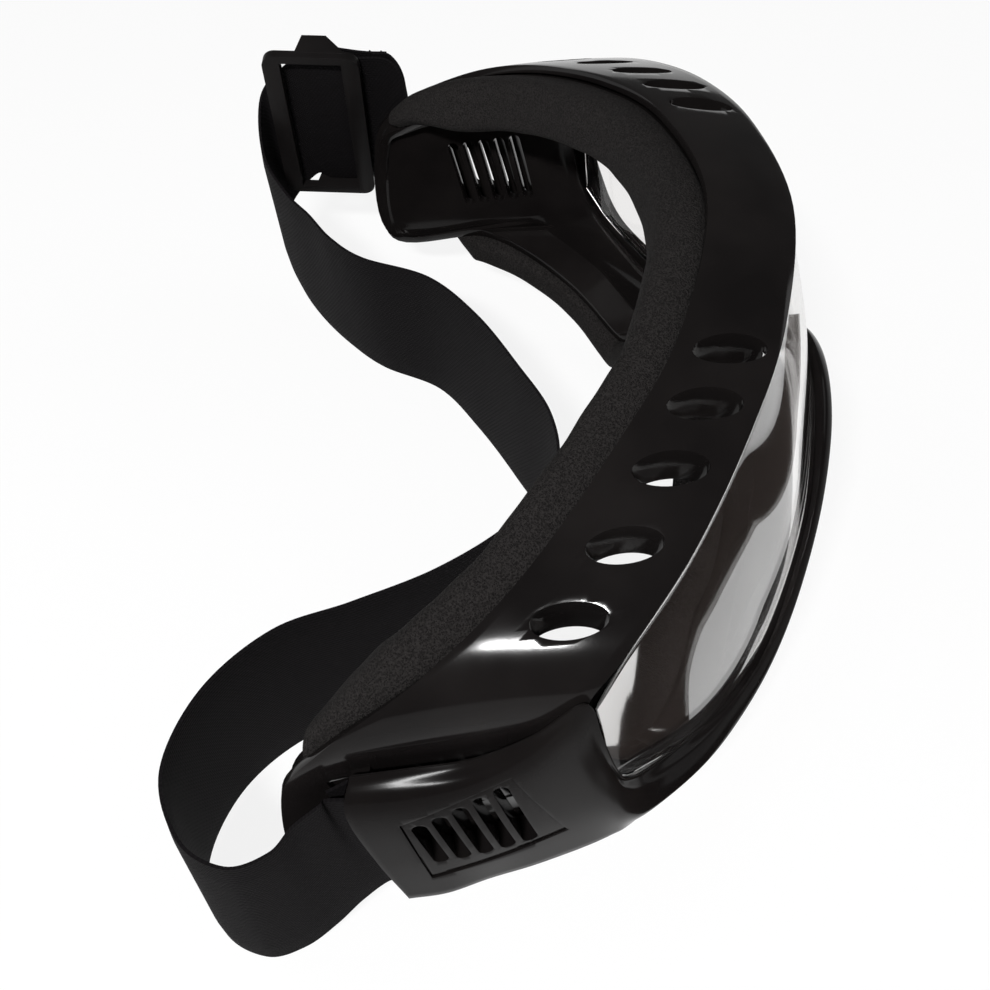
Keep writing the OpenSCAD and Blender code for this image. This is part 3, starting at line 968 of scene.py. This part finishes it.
@dataclass
class Bezel:
    """The lower moulding: strap housings, side panels and the rim under the lens.

    Attributes:
        edge: Its edge on the frame or the lens, from the left pocket to the nose.
        crest: Its crest.
        side: Its side.
        low: Its lower edge.
        thick: Its thickness.
        gutter: How deep the gutter beside the lens is, at each station.
        gutter_at: The gutter's place and width, from edge to crest.
        rim_from: The stations from an end over which the rim becomes solid.
        thin_share: The wall's share of its thickness at its edge.
        steps: The number of rings from one station to the next.
        rows: The number of points from the edge to the lower edge.
    """

    edge: Sequence = field(default_factory=lambda: [
        [84.4, 21.5, 52.5], [83.2, 12, 53], [82.4, 3, 54.5], [81.5, -6, 60], [79.9, -13.4, 66.3],
        [80.2, -16.1, 57], [79.6, -18.3, 47], [77.5, -20.4, 39.5], [71.7, -24.6, 31.8],
        [61.4, -34, 25.8], [52.9, -42, 24], [44.3, -47.7, 25.8], [34.7, -52, 32.5],
        [23.7, -55.2, 40.5], [12, -56.3, 49], [0, -56.6, 52]])
    crest: Sequence = field(default_factory=lambda: [
        [88.2, 22.3, 47.5], [87.4, 12.5, 48.5], [86, 3, 50.5], [84.3, -5, 54], [82, -12, 58],
        [81, -15.5, 48], [80, -18.2, 41.5], [78.3, -20.8, 35.5], [73.2, -25.5, 29],
        [63, -34.8, 25.4], [53.3, -42.2, 24.6], [44.3, -48, 27.4], [34.7, -52.5, 34],
        [23.7, -56, 42.8], [12, -57.6, 50.8], [0, -58, 53.5]])
    side: Sequence = field(default_factory=lambda: [
        [88.7, 19.3, 32], [88, 10.5, 33], [86.6, 2, 34], [84.7, -5, 36], [82.6, -11.5, 38],
        [81.2, -15.5, 36], [80, -18.3, 32], [78.6, -21, 28], [75.4, -25.3, 24.8],
        [65.4, -35, 21.8], [55.5, -42.3, 21], [45.7, -48.5, 24], [35.8, -53.3, 31],
        [24, -57.3, 40], [12, -59.5, 48], [0, -60, 51]])
    low: Sequence = field(default_factory=lambda: [
        [88.3, 15.6, 16.5], [87.4, 9, 17], [85.2, 2, 18], [83.5, -5, 19.3], [81.3, -11.5, 20],
        [79.8, -15.5, 20.5], [78.3, -18.5, 20.5], [76.8, -20.8, 20], [73, -24.5, 18.5],
        [63.5, -34, 17], [54, -41, 17.5], [44.5, -46.5, 20], [34.5, -51, 27], [23.7, -54.8, 36],
        [12, -57, 44.5], [0, -57.5, 47.5]])
    gutter: Sequence = (0, 0, 0, 0, 0, 0.2, 0.6, 0.8, 0.8, 0.6, 0.5, 0.6, 0.7, 0.7, 0.7, 0.7)
    gutter_at: Tuple[float, float] = (0.42, 0.2)
    rim_from: Tuple[float, float] = (7.5, 9)
    thick: float = 1.7
    thin_share: float = 0.2
    steps: int = 9
    rows: int = 30

    def sections(self, thick: float, sunk: float = 0.0) -> Array:
        """The bezel's rings: outer face, then the inner face, closing up at the edge.

        Args:
            thick: The wall's thickness.
            sunk: How deep the outer face lies under the bezel's own.

        Returns:
            The rings.
        """
        lines = [to_middle(points) for points in (self.edge, self.crest, self.side, self.low)]
        dip = to_middle(self.gutter)
        last = len(lines[0].values) - 1
        u = np.arange(last * self.steps + 1) / self.steps
        along = lines[1].at(u + STEP) - lines[1].at(u - STEP)
        marks = [line.at(u) for line in lines]
        out = unit(np.cross(marks[1] - marks[3], along))
        outline = Stations(np.stack(marks))
        outer = []
        place, width = self.gutter_at
        for k in range(self.rows + 1):
            v = 3 * k / self.rows
            groove = math.exp(-((v - place) / width) ** 2) * dip.at(u)[:, None]
            outer.append(outline.at(v)[0] - (groove + sunk) * out)
        start, stop = self.rim_from
        rim = np.clip((np.minimum(u, last - u) - start) / (stop - start), 0, 1)[:, None]
        thin = self.thin_share * thick
        inner = []
        for k in range(self.rows, -1, -1):
            wall = min(thick, thin + 3 * k / self.rows * (thick - thin))
            flush = np.sum((outer[k] - marks[0]) * out, axis=1, keepdims=True) + thin
            inner.append(outer[k] - out * (wall + rim * np.maximum(0, flush - wall)))
        return np.stack(outer + inner, axis=1)

    def build(self, finishes: Finishes, vent: SideVent) -> None:
        """Makes the bezel with its vent windows, and a louvre that follows its face in each."""
        piece = loft("bezel_moulding", self.sections(self.thick))
        for side in Side:
            cut(piece, vent.window(side, vent.gap))
        round_edges(piece, Edge.SOFT)
        finish_piece(piece, finishes.bezel, ROOT, ["bezel"])
        for side in Side:
            name = side.name.lower()
            louvre = loft(f"louvre_{name}", self.sections(vent.depth, vent.recess))
            cut(louvre, vent.window(side, 0), "INTERSECT")
            cut(louvre, vent.slots(side, vent.louvre_slots))
            round_edges(louvre, Edge.FINE)
            finish_piece(louvre, finishes.bezel, ROOT, [f"vent_louver_{name}"])


@dataclass
class FaceFoam:
    """The foam that seals on the face, glued to the frame's flange.

    Attributes:
        shell: The frame's shape.
        share: The foam's share of its full size at each station.
        thick: Its full thickness.
        width: Its full width.
        lip_gap: The gap between it and the frame's lip.
        brow_end: The station where the brow strip ends, on either side.
        cheek_start: The station where the cheek strip starts.
        brow_rise: How much further back than the flange the brow strip faces.
        cheek_rise: The same for the cheek strip.
        round_off: The length of its rounded ends, in stations.
        least_end: The square of the share of its size that is left at its ends.
        waves: Height, rate and start of the waves in its face.
        steps: The number of rings from one station to the next.
        profile: Its section, as shares of its width and its thickness.
    """

    shell: Shell
    share: Sequence = (1, 1, 1, 1, 0.95, 0.4, 0.3, 0.5, 0.75, 0.8, 0.85, 1, 0.9, 0.85)
    thick: float = 9
    width: float = 11
    lip_gap: float = 0.5
    brow_end: float = 5 + 1 / 3
    cheek_start: float = 7 + 2 / 3
    brow_rise: float = 0.5
    cheek_rise: float = 0.2
    round_off: float = 0.25
    least_end: float = 0.02
    waves: Sequence = ((0.12, 7.1, 0), (0.08, 13.7, 1))
    steps: int = 14
    profile: Sequence = ((0, 0.0), (-0.004, 0.3), (-0.012, 0.62), (0.02, 0.82), (0.1, 0.95),
                         (0.24, 1.0), (0.5, 1.015), (0.76, 1.0), (0.9, 0.95), (0.98, 0.82),
                         (1.012, 0.62), (1.004, 0.3), (1.0, 0.0), (0.5, 0.0))

    def strip(self, name: str, start: float, stop: float, rise: float) -> bpy.types.Object:
        """One strip of foam with round edges and round ends.

        Args:
            name: The piece's name.
            start: The station where it starts.
            stop: The station where it ends.
            rise: How much further back than the flange it faces.

        Returns:
            The piece.
        """
        count = int((stop - start) * self.steps)
        u = np.linspace(start, stop, count + 1)
        square, out = self.shell.at_edge(u)
        back = unit(square + [0, rise, 0])
        edge = self.shell.rear_loop.at(u) - square * self.shell.lip_h
        share = round_face(self.share).at(u)[:, None]
        ends = np.minimum(u - start, stop - u)[:, None]
        share = share * np.sqrt(np.clip(ends / self.round_off, self.least_end, 1))
        lean = np.maximum(0, np.sum(back * out, axis=1)) / np.sum(back * square, axis=1)
        a = self.shell.lip_t + self.lip_gap + self.shell.lip_h * lean[:, None]
        w, d = self.width * share, self.thick * share
        wave = sum(high * np.sin(u * rate + begin) for high, rate, begin in self.waves)[:, None]
        points = [edge - out * (a + w * x) + back * (d * y + (wave * share if y > 0.5 else 0))
                  for x, y in self.profile]
        piece = loft(name, np.stack(points, axis=1))
        apply_modifier(piece, "SUBSURF", levels=1, render_levels=1)
        shade(piece, 60)
        return piece

    def build(self, finishes: Finishes) -> None:
        """Makes the brow strip and the cheek and nose strip."""
        upper = self.strip("foam_brow_strip", -self.brow_end, self.brow_end, self.brow_rise)
        lower = self.strip("foam_cheek_strip", self.cheek_start,
                           self.shell.total - self.cheek_start, self.cheek_rise)
        for piece, node in ((upper, "face_foam_upper"), (lower, "face_foam_lower")):
            finish_piece(piece, finishes.foam, ROOT, [node])


@dataclass
class Slider:
    """The slider on the webbing at the wearer's left.

    Attributes:
        at: Its middle.
        tilt: Its tilt about X, Y and Z, in degrees.
        length: Its length along the webbing.
        height: Its height across it.
        bar: The width of its rails and its middle bar.
        thick: The thickness of its rails.
        corner: The radius of its outer corners.
        bar_t: The middle bar's thickness.
        lug_h: The height of the sides that join the bar to the rails.
        strap_t: The webbing's thickness.
        half_w: Half its width.
        edge_gap: The room past the webbing's edges.
        bite: How far the sides reach into the rails.
        slopes: How far the sides reach past the bar: front and rear at the bar, rear at the rails.
        through: How far the cutter between the rails reaches, in and out.
    """

    at: Tuple[float, float, float] = (90, 46.3, 46.3)
    tilt: Tuple[float, float, float] = (2, -9, -2)
    length: float = 22
    height: float = 42.5
    bar: float = 4
    thick: float = 2.2
    corner: float = 3
    bar_t: float = 2
    lug_h: float = 2
    strap_t: float = 1.2
    half_w: float = 19
    edge_gap: float = 0.3
    bite: float = 0.5
    slopes: Tuple[float, float, float] = (1, 0.5, 1.5)
    through: float = 10

    @property
    def layer(self) -> float:
        """The distance from one layer of webbing to the next."""
        return self.strap_t + 0.2

    @property
    def rail_out(self) -> float:
        """The outer face of the rails, from the webbing's middle."""
        return -self.strap_t / 2 - 0.4

    @property
    def bar_in(self) -> float:
        """The inner face of the middle bar."""
        return self.layer + self.strap_t / 2 + 0.1

    @property
    def bar_out(self) -> float:
        """The outer face of the middle bar."""
        return self.bar_in + self.bar_t

    def put(self, points: Array) -> Array:
        """Points in the slider's axes, brought to the part's place."""
        return turned(points, self.tilt) + self.at

    def rails(self) -> bpy.types.Object:
        """The slider's rounded frame."""
        turn = np.linspace(0, math.pi / 2, 9)
        y, z = self.length / 2, self.height / 2
        r = self.corner
        outline: List[List[float]] = []
        for k, (sy, sz) in enumerate(((1, 1), (-1, 1), (-1, -1), (1, -1))):
            for t in turn + k * math.pi / 2:
                outline.append([sy * (y - r) + r * math.cos(t), sz * (z - r) + r * math.sin(t)])

        def lay(points: Array) -> Array:
            return self.put(np.column_stack([points[:, 2], points[:, 0], points[:, 1]]))
        piece = prism("slider_rails", outline, self.rail_out - self.thick, self.rail_out, lay)
        inside = [y - self.bar, self.half_w + self.edge_gap]
        hole = [[inside[0] * a, inside[1] * b] for a, b in ((1, 1), (-1, 1), (-1, -1), (1, -1))]
        cut(piece, prism("hole", hole, -self.through, self.through, lay))
        return piece

    def build(self, finishes: Finishes) -> None:
        """Makes the slider: its rails, its sloping sides and its middle bar."""
        piece = self.rails()
        end = self.half_w + self.edge_gap
        reach = end + self.lug_h
        half = self.bar / 2
        foot, far = self.rail_out - self.bite, self.length / 2 - self.corner
        front, rear, rail_rear = self.slopes
        outline = [[foot, -far], [self.bar_out, -half - front], [self.bar_out, half + rear],
                   [foot, half + rail_rear]]
        for sign in (-1, 1):
            low, high = sorted((sign * end, sign * reach))
            cut(piece, prism("lug", outline, low, high, self.put), "UNION")
        outline = [[self.bar_in, -half], [self.bar_out, -half], [self.bar_out, half],
                   [self.bar_in, half]]
        cut(piece, prism("bar", outline, -reach, reach, self.put), "UNION")
        piece.name = "slider_buckle"
        round_edges(piece, Edge.ROUND, segments=3)
        finish_piece(piece, finishes.slider, SLIDING, ["slider"])


@dataclass
class Strap:
    """The elastic webbing: its free run, its turns round the bars and its sewn end.

    Attributes:
        shell: The frame's shape, with the bars.
        slider: The slider.
        low: The lower edge of the free run, from the right temple round to the slider.
        high: Its upper edge.
        thick: The webbing's thickness.
        width: Its width.
        play: The room between it and what it turns round.
        mouth: Its lower and upper edge where it leaves the pocket.
        steps: The number of rings from one station to the next.
        rows: The number of points across it.
        tack_rows: Where the rows of the bar tack lie along the webbing.
        tack_count: The number of stitches in a row.
        tack_pitch: The distance from stitch to stitch.
        thread_r: The thread's radius.
        stitch_half: Half a stitch's length.
        stitch_arch: How far a stitch's middle stands out.
    """

    shell: Shell
    slider: Slider
    low: Sequence = field(default_factory=lambda: [
        [-86.7, 24, 12.5], [-88.6, 29, 6.5], [-91.2, 35, 2.2], [-92.3, 42, 0.2], [-88, 50, 0],
        [-76, 55.5, 0], [-61, 51.5, 0], [-49.5, 41, 0], [-43.5, 27, 0], [-36, 12, 0],
        [-25, -1, 0], [-12, -8.5, 0], [3, -7.5, 0], [18, 0, 0], [33, 9, 0], [46, 19, 0],
        [53.5, 33, 0], [61.5, 42, 0], [71, 50, 0], [79.5, 56, 2], [88, 60.5, 7.5],
        [94.2, 59.4, 17]])
    high: Sequence = field(default_factory=lambda: [
        [-86.7, 26.5, 47.5], [-88.2, 31, 43.5], [-90.8, 35, 39.5], [-92.5, 42, 38],
        [-88, 50, 38], [-76, 55, 38], [-61, 51, 38], [-49, 40.5, 38], [-43, 27, 38],
        [-35.5, 12, 38], [-25, -1, 38], [-12, -9, 38], [2, -8, 38], [16, -1, 38], [31, 8, 38],
        [43, 19, 38], [49.5, 34, 38], [56.5, 42, 38], [65, 48, 38], [73.5, 54.5, 38],
        [82.5, 60.2, 42.5], [89.9, 59.4, 54]])
    thick: float = 1.2
    width: float = 38
    play: float = 0.1
    mouth: Sequence = ((85.6, 25, 24), (85.6, 25.5, 58.5))
    steps: int = 10
    rows: int = 9
    tack_rows: Tuple[float, float] = (-12.6, -15.2)
    tack_count: int = 15
    tack_pitch: float = 2.4
    thread_r: float = 0.28
    stitch_half: float = 0.9
    stitch_arch: float = 0.22

    def at_bar(self, out: float, back: float, half: float) -> Array:
        """A pair of edge points beside the left bar."""
        return self.shell.on_bar(np.array([[out, back, -half], [out, back, half]]))

    def at_slider(self, out: float, back: float, half: float) -> Array:
        """A pair of edge points in the slider's axes."""
        return self.slider.put(np.array([[out, back, -half], [out, back, half]]))

    def ribbon(self, name: str, pairs: Sequence[Array]) -> bpy.types.Object:
        """Webbing through pairs of points on its edges.

        Args:
            name: The piece's name.
            pairs: Lower and upper edge point at each station.

        Returns:
            The piece, with a UV map in metres.
        """
        table = np.asarray(pairs, float)
        low, high = Stations(table[:, 0]), Stations(table[:, 1])
        u = np.arange((len(table) - 1) * self.steps + 1) / self.steps
        a, b = low.at(u), high.at(u)
        along = low.at(u + STEP) + high.at(u + STEP) - low.at(u - STEP) - high.at(u - STEP)
        out = unit(np.cross(along, b - a))
        half = self.thick / 2
        rise = unit(b - a)
        wide = np.linalg.norm(b - a, axis=1, keepdims=True)
        places = np.linspace(0, 1, self.rows)
        points, across = [], []
        for side in (-1, 1):
            for p in places if side < 0 else places[::-1]:
                share = 0.5 if p in (0.0, 1.0) else 1.0
                points.append(a + rise * wide * p + side * out * (half * share))
                across.append(p * self.width * MM)
        across.append(across[0])
        middle = (a + b) / 2
        run = np.concatenate([[0], np.cumsum(np.linalg.norm(np.diff(middle, axis=0), axis=1))]) * MM
        piece = loft(name, np.stack(points, axis=1), along=run, across=np.array(across))
        shade(piece, 50)
        return piece

    def long_run(self) -> List[Array]:
        """The long piece's pairs, from the right bar round to the left one and back."""
        gather, layer = self.shell.gather_half, self.slider.layer
        turn_r = self.shell.bar_d / 2 + self.play + self.thick / 2
        turn = [self.at_bar(turn_r * math.cos(math.radians(t)), -turn_r * math.sin(math.radians(t)),
                            gather) for t in (180, 135, 90, 45, 0)]
        outer = [self.at_bar(turn_r, 2, gather), self.at_bar(turn_r, 6, gather + 0.5)]
        inner = [self.at_bar(turn_r - layer, 6, gather + 0.5), self.at_bar(-turn_r, 2, gather)]
        right = [pair * [-1, 1, 1] for pair in inner + turn + outer]
        free = [np.array([a, b], float) for a, b in zip(self.low, self.high)]
        mouth = np.array(self.mouth)
        half = self.slider.half_w
        left = [self.at_slider(0, 4, half - 0.8), self.at_slider(0, 0, half - 0.1),
                self.at_slider(0, -8.5, half - 0.3), self.at_slider(0, -17, half - 0.5), mouth]
        left += inner + turn + outer
        left += [mouth + [layer, 0, 0], self.at_slider(layer, -17.5, half - 0.5),
                 self.at_slider(layer, -13.5, half)]
        return right + free + left

    def end_loop(self) -> List[Array]:
        """The sewn end's pairs, round the slider's middle bar."""
        s = self.slider
        reach = s.bar / 2 + s.edge_gap + self.thick / 2
        inner, outer = s.layer + self.play, s.bar_out + self.play + self.thick / 2
        bend, lap, half = 0.8, 2 * s.layer + 0.4, s.half_w - 1.2
        path = [(inner, -6.5), (inner, 0), (inner, reach - bend), (inner + bend, reach),
                (outer - bend, reach), (outer, reach - bend), (outer, -2), (outer - 0.8, -6),
                (lap, -11.5), (lap, -16.5)]
        return [self.at_slider(x, y, half) for x, y in path]

    def stitches(self) -> bpy.types.Object:
        """The bar tack across the sewn end: short stitches, each copied along two rows."""
        s = self.slider
        parts: List[bpy.types.Object] = []
        x = 2 * s.layer + 0.4 + self.thick / 2
        turn = np.linspace(0, 2 * math.pi, 7)[:-1]
        ring = self.thread_r * np.column_stack([np.cos(turn), np.sin(turn)])
        ends = ((0.5, -self.stitch_half), (1, -0.5), (1, 0.5), (0.5, self.stitch_half))
        for row in self.tack_rows:
            for k in range(self.tack_count):
                z = (k - (self.tack_count - 1) / 2) * self.tack_pitch

                def put(points: Array, row: float = row, z: float = z) -> Array:
                    arch = self.stitch_arch * (1 - (points[:, 2] / self.stitch_half) ** 2)
                    placed = np.column_stack([x + arch + points[:, 0], row + points[:, 1],
                                              z + points[:, 2]])
                    return s.put(placed)
                flat = np.stack([put(np.column_stack([ring * w, np.full(6, h)]))
                                 for w, h in ends])
                parts.append(loft("stitch", flat))
        piece = joined("sewn_end_stitches", parts)
        shade(piece, 60)
        return piece

    def build(self, finishes: Finishes) -> None:
        """Makes the webbing, its sewn end and the stitches."""
        run = self.ribbon("webbing_strap", self.long_run())
        end = self.ribbon("webbing_sewn_end", self.end_loop())
        finish_piece(run, finishes.webbing, ROOT, ["strap"])
        finish_piece(end, finishes.webbing, SLIDING, ["strap_end_loop"])
        finish_piece(self.stitches(), finishes.thread, SLIDING)


@dataclass
class Studio:
    """The floor, the world, the lamps and the camera.

    Attributes:
        camera_at: The camera's place in millimetres.
        pitch: How far it looks down, in radians.
        yaw: How far it turns from +X towards +Y, in radians.
        roll: Its roll, in radians.
        focal: Its focal length, in pixels of the photograph's frame.
        frame_px: The photograph's width, in pixels.
        sensor: The sensor's width, in millimetres.
        flag_outer: The outer edge of the dark flag that the lens reflects, in millimetres.
        flag_inner: Its inner edge.
        flag_up: Its height, from the table.
        floor_at: The floor's height, in metres.
        pale: The floor's colour, and its share of its own light for the rays that see it.
        dim: The world's strength for the light that reaches the object.
    """

    camera_at: Tuple[float, float, float] = (-173, -10, 227.322)
    pitch: float = 0.885
    yaw: float = 0.080
    roll: float = -0.065
    focal: float = 1300
    frame_px: float = 990
    sensor: float = 36
    flag_outer: Sequence = ((-108, -34), (-93, -81), (-62, -104), (-33, -114), (0, -121),
                            (75, -124))
    flag_inner: Sequence = ((-60, -34), (-56, -66), (-39, -83), (-19, -94), (5, -99), (75, -104))
    flag_up: float = -0.5
    floor_at: float = -0.0008
    pale: float = 0.86
    dim: float = 0.12

    def camera(self) -> None:
        """Adds the camera at the photograph's place."""
        d = np.array([math.cos(self.pitch) * math.cos(self.yaw),
                      math.cos(self.pitch) * math.sin(self.yaw), -math.sin(self.pitch)])
        r0 = unit(np.cross(d, [0, 0, 1]))
        u0 = np.cross(r0, d)
        right = math.cos(self.roll) * r0 + math.sin(self.roll) * u0
        up = -math.sin(self.roll) * r0 + math.cos(self.roll) * u0
        data = bpy.data.cameras.new("camera")
        data.sensor_width = self.sensor
        data.lens = self.focal / self.frame_px * self.sensor
        data.clip_start = 0.01
        camera = bpy.data.objects.new("camera", data)
        bpy.context.scene.collection.objects.link(camera)
        turn = Matrix([right.tolist(), up.tolist(), (-d).tolist()]).transposed().to_4x4()
        camera.matrix_world = Matrix.Translation(Vector(self.camera_at) * MM) @ turn
        bpy.context.scene.camera = camera

    def white(self, nodes: Nodes) -> bpy.types.NodeSocket:
        """A mask for the rays that see the background as it looks."""
        path = nodes.add("LightPath")
        seen = nodes.math("MAXIMUM", path.outputs["Is Camera Ray"], path.outputs["Is Glossy Ray"])
        return nodes.math("MAXIMUM", seen, path.outputs["Is Transmission Ray"])

    def floor(self) -> None:
        """Adds the pale floor."""
        bpy.ops.object.select_all(action="DESELECT")
        bpy.ops.mesh.primitive_circle_add(vertices=96, radius=4, fill_type="NGON",
                                          location=(0, 0, self.floor_at))
        plane = bpy.context.active_object
        plane.name = "floor"
        material = bpy.data.materials.new("floor_pale")
        material.use_nodes = True
        nodes = Nodes(material.node_tree)
        shader = material.node_tree.nodes["Principled BSDF"]
        shader.inputs["Base Color"].default_value = (self.pale, self.pale, self.pale, 1)
        shader.inputs["Roughness"].default_value = 0.9
        glow = nodes.add("Emission", {"Color": (1, 1, 1, 1), "Strength": 1.0})
        share = nodes.math("MULTIPLY", self.white(nodes), self.pale)
        mixed = nodes.add("MixShader", {0: share, 1: shader.outputs[0], 2: glow.outputs[0]})
        out = material.node_tree.nodes["Material Output"]
        material.node_tree.links.new(mixed.outputs[0], out.inputs["Surface"])
        plane.data.materials.append(material)

    def world(self) -> None:
        """Sets the world: white where the camera sees it, soft and dim above for the light."""
        world = bpy.data.worlds.new("studio")
        world.use_nodes = True
        bpy.context.scene.world = world
        nodes = Nodes(world.node_tree)
        path = nodes.add("LightPath")
        seen = nodes.math("MAXIMUM", path.outputs["Is Camera Ray"],
                          path.outputs["Is Transmission Ray"])
        background = world.node_tree.nodes["Background"]
        strength = nodes.span(seen, self.dim, 1.0)
        world.node_tree.links.new(strength, background.inputs["Strength"])
        background.inputs["Color"].default_value = (1, 1, 1, 1)

    def flag(self) -> None:
        """Adds the dark flag on the floor, which the lens reflects and refracts as its band."""
        steps = 8
        u = np.arange((len(self.flag_outer) - 1) * steps + 1) / steps
        rings = np.stack([Stations(edge).at(u) for edge in (self.flag_outer, self.flag_inner)], 1)
        piece = loft("flag", np.dstack([rings, np.full(rings.shape[:2], self.flag_up)]), tube=False)
        dressing = Dressing("flag_cloth", grain=900, marks=30)
        dressing.feed("Base Color", (0.03, 0.02, 0.016, 1))
        dressing.feed("Roughness", 0.9)
        piece.data.materials.clear()
        piece.data.materials.append(dressing.material)
        for rays in ("camera", "diffuse", "volume_scatter", "shadow"):
            setattr(piece, f"visible_{rays}", False)

    def lamp(self, name: str, at: Sequence[float], size: Tuple[float, float], power: float,
             aim: Sequence[float] = (0, 0, 0.04)) -> None:
        """Adds a soft box.

        Args:
            name: The lamp's name.
            at: Its place in metres.
            size: Its width and height in metres.
            power: Its power in watts.
            aim: The point that it faces.
        """
        data = bpy.data.lights.new(name, "AREA")
        data.shape = "RECTANGLE"
        data.size, data.size_y = size
        data.energy = power
        lamp = bpy.data.objects.new(name, data)
        bpy.context.scene.collection.objects.link(lamp)
        lamp.location = at
        lamp.rotation_euler = (Vector(aim) - Vector(at)).to_track_quat("-Z", "Y").to_euler()

    def build(self) -> None:
        """Adds everything round the object."""
        self.camera()
        self.floor()
        self.world()
        self.flag()
        self.lamp("key", (-0.56, 0.14, 0.72), (0.16, 0.05), 9)
        self.lamp("front", (0.25, -0.95, 0.55), (0.7, 0.5), 2.5)
        self.lamp("back", (0.3, 0.9, 0.9), (0.8, 0.8), 2.5)
        bpy.context.scene.view_settings.view_transform = "Standard"


def main() -> None:
    """Builds the goggles in order."""
    logging.basicConfig(level=logging.INFO, format="%(name)s %(message)s")
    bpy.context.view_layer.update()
    finishes = Finishes.made()
    vent, shell, lens, slider = SideVent(), Shell(), Lens(), Slider()
    shell.build(finishes, vent, lens)
    lens.build(finishes)
    Bezel().build(finishes, vent)
    FaceFoam(shell).build(finishes)
    slider.build(finishes)
    Strap(shell, slider).build(finishes)
    Studio().build()


if __name__ == "__main__":
    main()
